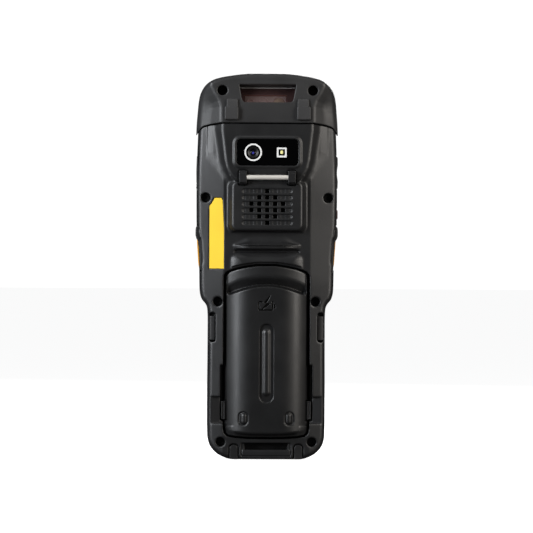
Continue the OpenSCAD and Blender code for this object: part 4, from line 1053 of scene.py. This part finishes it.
def flap(x, y, z):
    d = poly(x, z, [(35.5, 158), (36.2, 158), (36.6, 157.4), (36.85, 150), (36.75, 142.6), (36.5, 141.6), (35.5, 141.6)])
    d = rmax(d, np.abs(y - 1.0) - 2.8, 0.6)
    nail = np.maximum(np.hypot((x - 37.6) * 1.0, (z - 157.4) * 0.8) - 1.1, np.abs(y - 1.0) - 1.6)
    line = np.maximum(np.abs(z - 143.6) - 0.25, 36.5 - x)
    d = rmax(rmax(d, -nail, 0.15), -(line + 0 * y), 0.1)
    return rmin(d, rmax(np.hypot(x - 36.1, z - 141.3) - 0.78, np.abs(y - 1.0) - 2.8, 0.2), 0.2)


put(lump("port_flap_skin", ((35.2, 37.1), (-2.0, 4.0), (140.3, 158.3)), flap, 0.16, 0.35),
    "rubber", "port_flap", "rubber", "port_cover")

# ------------------------------------------------------------------ display and keys

put(plate("display_pane", round_rect(0, 142.5, 57.9, 94.9, 2.8), -12.85, -13.85, 0.18), "display", "terminal", "black_glass", "display_window")

key_mesh = {}


def key_piece(name, w, h, rise):
    """A key about its own centre: crowned cap on a flange."""
    if (w, h) not in key_mesh:
        def shape(x, y, z):
            front = -14 - rise + 0.011 * (x**2 * (11 / w) ** 1.2 + z**2)
            cap_ = rmax(rrect(x, z, 0, 0, w, h, 2.0), front - y, 0.75)
            cap_ = np.maximum(cap_, y + 11.9)
            return np.minimum(cap_, np.maximum(rrect(x, z, 0, 0, w + 1.2, h + 1.2, 2.6), np.abs(y + 11.7) - 0.4))
        ob = lump(name, ((-w / 2 - 0.9, w / 2 + 0.9), (-15.6, -11.1), (-h / 2 - 0.9, h / 2 + 0.9)), shape, 0.24, 0.3)
        key_mesh[(w, h)] = ob.data
        return ob
    ob = bpy.data.objects.new(name, key_mesh[(w, h)])
    bpy.context.scene.collection.objects.link(ob)
    return ob


def glyph(name, text, size, cx, cz, y0, y1):
    cu = bpy.data.curves.new(name, "FONT")
    cu.body, cu.size, cu.align_x, cu.align_y = text, size * MM, "CENTER", "CENTER"
    cu.resolution_u = 4
    cu.offset = 0.0001
    cu.extrude = abs(y1 - y0) / 2 * MM
    tmp = bpy.data.objects.new(name, cu)
    bpy.context.scene.collection.objects.link(tmp)
    dg = bpy.context.evaluated_depsgraph_get()
    me = bpy.data.meshes.new_from_object(tmp.evaluated_get(dg))
    bpy.data.objects.remove(tmp)
    co = np.empty(len(me.vertices) * 3, np.float32)
    me.vertices.foreach_get("co", co)
    co = co.reshape(-1, 3)
    mid = (co[:, :2].min(0) + co[:, :2].max(0)) / 2
    out = np.stack([co[:, 0] - mid[0] + cx * MM, (y0 + y1) / 2 * MM - co[:, 2], co[:, 1] - mid[1] + cz * MM], 1)
    me.vertices.foreach_set("co", out.astype(np.float32).ravel())
    me.update()
    me.name = name
    ob = bpy.data.objects.new(name, me)
    bpy.context.scene.collection.objects.link(ob)
    return ob


def arrow(cx, cz, s, turn):
    """A solid arrow of half size s, turned by quarter turns from pointing up."""
    pts_ = [(0, 1), (0.95, 0.05), (0.38, 0.05), (0.38, -0.95), (-0.38, -0.95), (-0.38, 0.05), (-0.95, 0.05)]
    c, s_ = math.cos(turn * math.pi / 2), math.sin(turn * math.pi / 2)
    return [(cx + s * (px * c - pz * s_), cz + s * (px * s_ + pz * c)) for px, pz in pts_]


ICONS = {
    "up": lambda x, z: [arrow(x, z, 1.7, 0)], "down": lambda x, z: [arrow(x, z, 1.7, 2)], "back": lambda x, z: [arrow(x, z, 1.8, 1)],
    "enter": lambda x, z: [[(x + 2.2, z + 1.7), (x + 1.4, z + 1.7), (x + 1.4, z - 0.2), (x - 0.7, z - 0.2), (x - 0.7, z + 0.8),
                            (x - 2.3, z - 0.7), (x - 0.7, z - 2.0), (x - 0.7, z - 1.0), (x + 2.2, z - 1.0)]],
    "delete": lambda x, z: [[(x + 2.4, z + 1.3), (x - 0.9, z + 1.3), (x - 2.6, z), (x - 0.9, z - 1.3), (x + 2.4, z - 1.3)]],
    "shift": lambda x, z: [[(x, z + 1.9), (x + 1.9, z), (x + 0.9, z), (x + 0.9, z - 1.0), (x - 0.9, z - 1.0), (x - 0.9, z)],
                           [(x + 0.9, z - 1.4), (x + 0.9, z - 1.9), (x - 0.9, z - 1.9), (x - 0.9, z - 1.4)]],
    "soft_1": lambda x, z: [round_rect(x, z, 3.4, 0.7, 0.3, 3)], "soft_2": lambda x, z: [round_rect(x, z, 2.2, 2.2, 0.4, 3)],
    "soft_3": lambda x, z: [round_rect(x, z, 2.3, 2.3, 1.14, 6)], "soft_4": lambda x, z: [round_rect(x, z + 0.75, 3.2, 0.6, 0.25, 3),
                                                                                        round_rect(x, z - 0.75, 3.2, 0.6, 0.25, 3)],
    "scan": lambda x, z: [[(x + a_, z + 2.1), (x + b_, z + 2.1), (x + b_, z - 2.1), (x + a_, z - 2.1)]
                          for a_, b_ in ((-4.4, -3.8), (-3.2, -2.9), (-2.3, -1.2), (-0.6, -0.3), (0.3, 1.0), (1.6, 1.9), (2.5, 3.2), (3.8, 4.4))],
}
for nm, (cx, cz, kw, kh) in zip(KEY_NAMES, KEYS):
    body = "cap_" + nm
    ob = key_piece("keycap_" + nm, kw, kh, 1.4 if nm == "scan" else 1.25)
    ob.location = (cx * MM, 0, cz * MM)
    mat = "scan_key" if nm == "scan" else ("key_dark" if nm in ("back", "enter", "up", "down", "delete", "shift") else "key")
    put(ob, mat, body, "scan_key" if nm == "scan" else "key", "key_" + nm)
    face = -15.4 if nm == "scan" else -15.25
    if nm in ICONS:
        parts = [plate("mark_%s_%d" % (nm, i), o, face + 0.14, face - 0.03) for i, o in enumerate(ICONS[nm](cx, cz))]
        mark = joined("mark_" + nm, parts) if len(parts) > 1 else parts[0]
        mark.data.polygons.foreach_set("use_smooth", np.zeros(len(mark.data.polygons), bool))
    else:
        mark = glyph("mark_" + nm, {"star": "*", "hash": "#"}.get(nm, nm), 6.4 if nm == "star" else 5.0, cx, cz, face + 0.14, face - 0.03)
    put(mark, "dark" if nm == "scan" else "legend", body, "scan_key" if nm == "scan" else "key")

# ------------------------------------------------------------------ what stays as the CAD has it

SLOT_MATERIAL = {"housing": "housing", "cap": "cap", "rubber": "rubber", "trim": "trim", "screw": "screw",
                 "steel": "steel", "black_glass": "camera_glass", "red_window": "red_window", "engine": "engine",
                 "lens": "lens_barrel", "led": "led", "label": "label", "key": "key", "scan_key": "scan_key",
                 "power": "power", "board": "board", "display": "panel", "speaker": "speaker", "cell": "cell",
                 "gold": "gold", "tin": "tin"}
slot_of = {s["node"]: s["material_slot"] for s in frame["record"]["subparts"]}
for name, ob in N.items():
    coat(ob, M[SLOT_MATERIAL[slot_of[name]]])
coat(N["battery_tray"], M["dark"])

# ------------------------------------------------------------------ stage, light, camera


def area(name, at, look, size, power, colour=(1, 1, 1), size_y=None):
    li = bpy.data.lights.new(name, "AREA")
    li.energy, li.color, li.size = power, colour, size
    if size_y:
        li.shape, li.size_y = "RECTANGLE", size_y
    ob = bpy.data.objects.new(name, li)
    ob.location = at
    ob.rotation_euler = (Vector(look) - Vector(at)).to_track_quat("-Z", "Y").to_euler()
    bpy.context.scene.collection.objects.link(ob)
    return ob


bpy.ops.mesh.primitive_plane_add(size=30, location=(0, 0, -0.0003))
floor = bpy.context.object
floor.name = "floor"
fm = bpy.data.materials.new("floor")
fm.use_nodes = True
nt = fm.node_tree
bs = nt.nodes["Principled BSDF"]
bs.inputs["Base Color"].default_value = (0.5, 0.5, 0.5, 1)
bs.inputs["Roughness"].default_value = 0.9
bs.inputs["Specular IOR Level"].default_value = 0.1
em = nt.nodes.new("ShaderNodeEmission")
em.inputs[1].default_value = 0.93
add = nt.nodes.new("ShaderNodeAddShader")
lp = nt.nodes.new("ShaderNodeLightPath")
dark = nt.nodes.new("ShaderNodeBsdfDiffuse")
dark.inputs[0].default_value = (0.06, 0.06, 0.06, 1)
mx = nt.nodes.new("ShaderNodeMixShader")
nt.links.new(bs.outputs[0], add.inputs[0])
nt.links.new(em.outputs[0], add.inputs[1])
nt.links.new(lp.outputs["Is Camera Ray"], mx.inputs[0])
nt.links.new(dark.outputs[0], mx.inputs[1])
nt.links.new(add.outputs[0], mx.inputs[2])
nt.links.new(mx.outputs[0], nt.nodes["Material Output"].inputs[0])
coat(floor, fm)

world = bpy.data.worlds.new("world")
bpy.context.scene.world = world
world.use_nodes = True
wt = world.node_tree
bg = wt.nodes["Background"]
bg.inputs[0].default_value = (0.9, 0.95, 1, 1)
bg.inputs[1].default_value = 0.05
white = wt.nodes.new("ShaderNodeBackground")
white.inputs[0].default_value = (1, 1, 1, 1)
white.inputs[1].default_value = 1.05
lp = wt.nodes.new("ShaderNodeLightPath")
mx = wt.nodes.new("ShaderNodeMixShader")
wt.links.new(lp.outputs["Is Camera Ray"], mx.inputs[0])
wt.links.new(bg.outputs[0], mx.inputs[1])
wt.links.new(white.outputs[0], mx.inputs[2])
wt.links.new(mx.outputs[0], wt.nodes["World Output"].inputs[0])

area("strip_left", (0.49, 0.36, 0.31), (0, 0, 0.16), 0.2, 5.2, (0.93, 0.96, 1.0), 0.5)
area("strip_right", (-0.49, 0.36, 0.31), (0, 0, 0.16), 0.2, 3.1, (1.0, 0.95, 0.89), 0.5)
area("above", (0, 0.22, 0.75), (0, 0, 0.12), 0.42, 0.35, (1, 1, 1), 0.25)
area("front_fill", (-0.3, -0.85, 0.6), (0, 0, 0.1), 0.55, 13.0, (1, 1, 1), 0.5)

cam_data = bpy.data.cameras.new("camera")
cam = bpy.data.objects.new("camera", cam_data)
bpy.context.scene.collection.objects.link(cam)
cam_data.lens = 250
cam_data.sensor_width = 36
dist = 0.2783 / 36 * 250
turn = math.radians(1.3)
cam.location = (-0.00005 + dist * math.sin(turn), dist * math.cos(turn), 0.1003)
cam.rotation_euler = (math.radians(90), math.radians(-0.27), math.radians(180) - turn)
cam_data.clip_end = 40
bpy.context.scene.camera = cam
bpy.context.scene.view_settings.view_transform = "Standard"
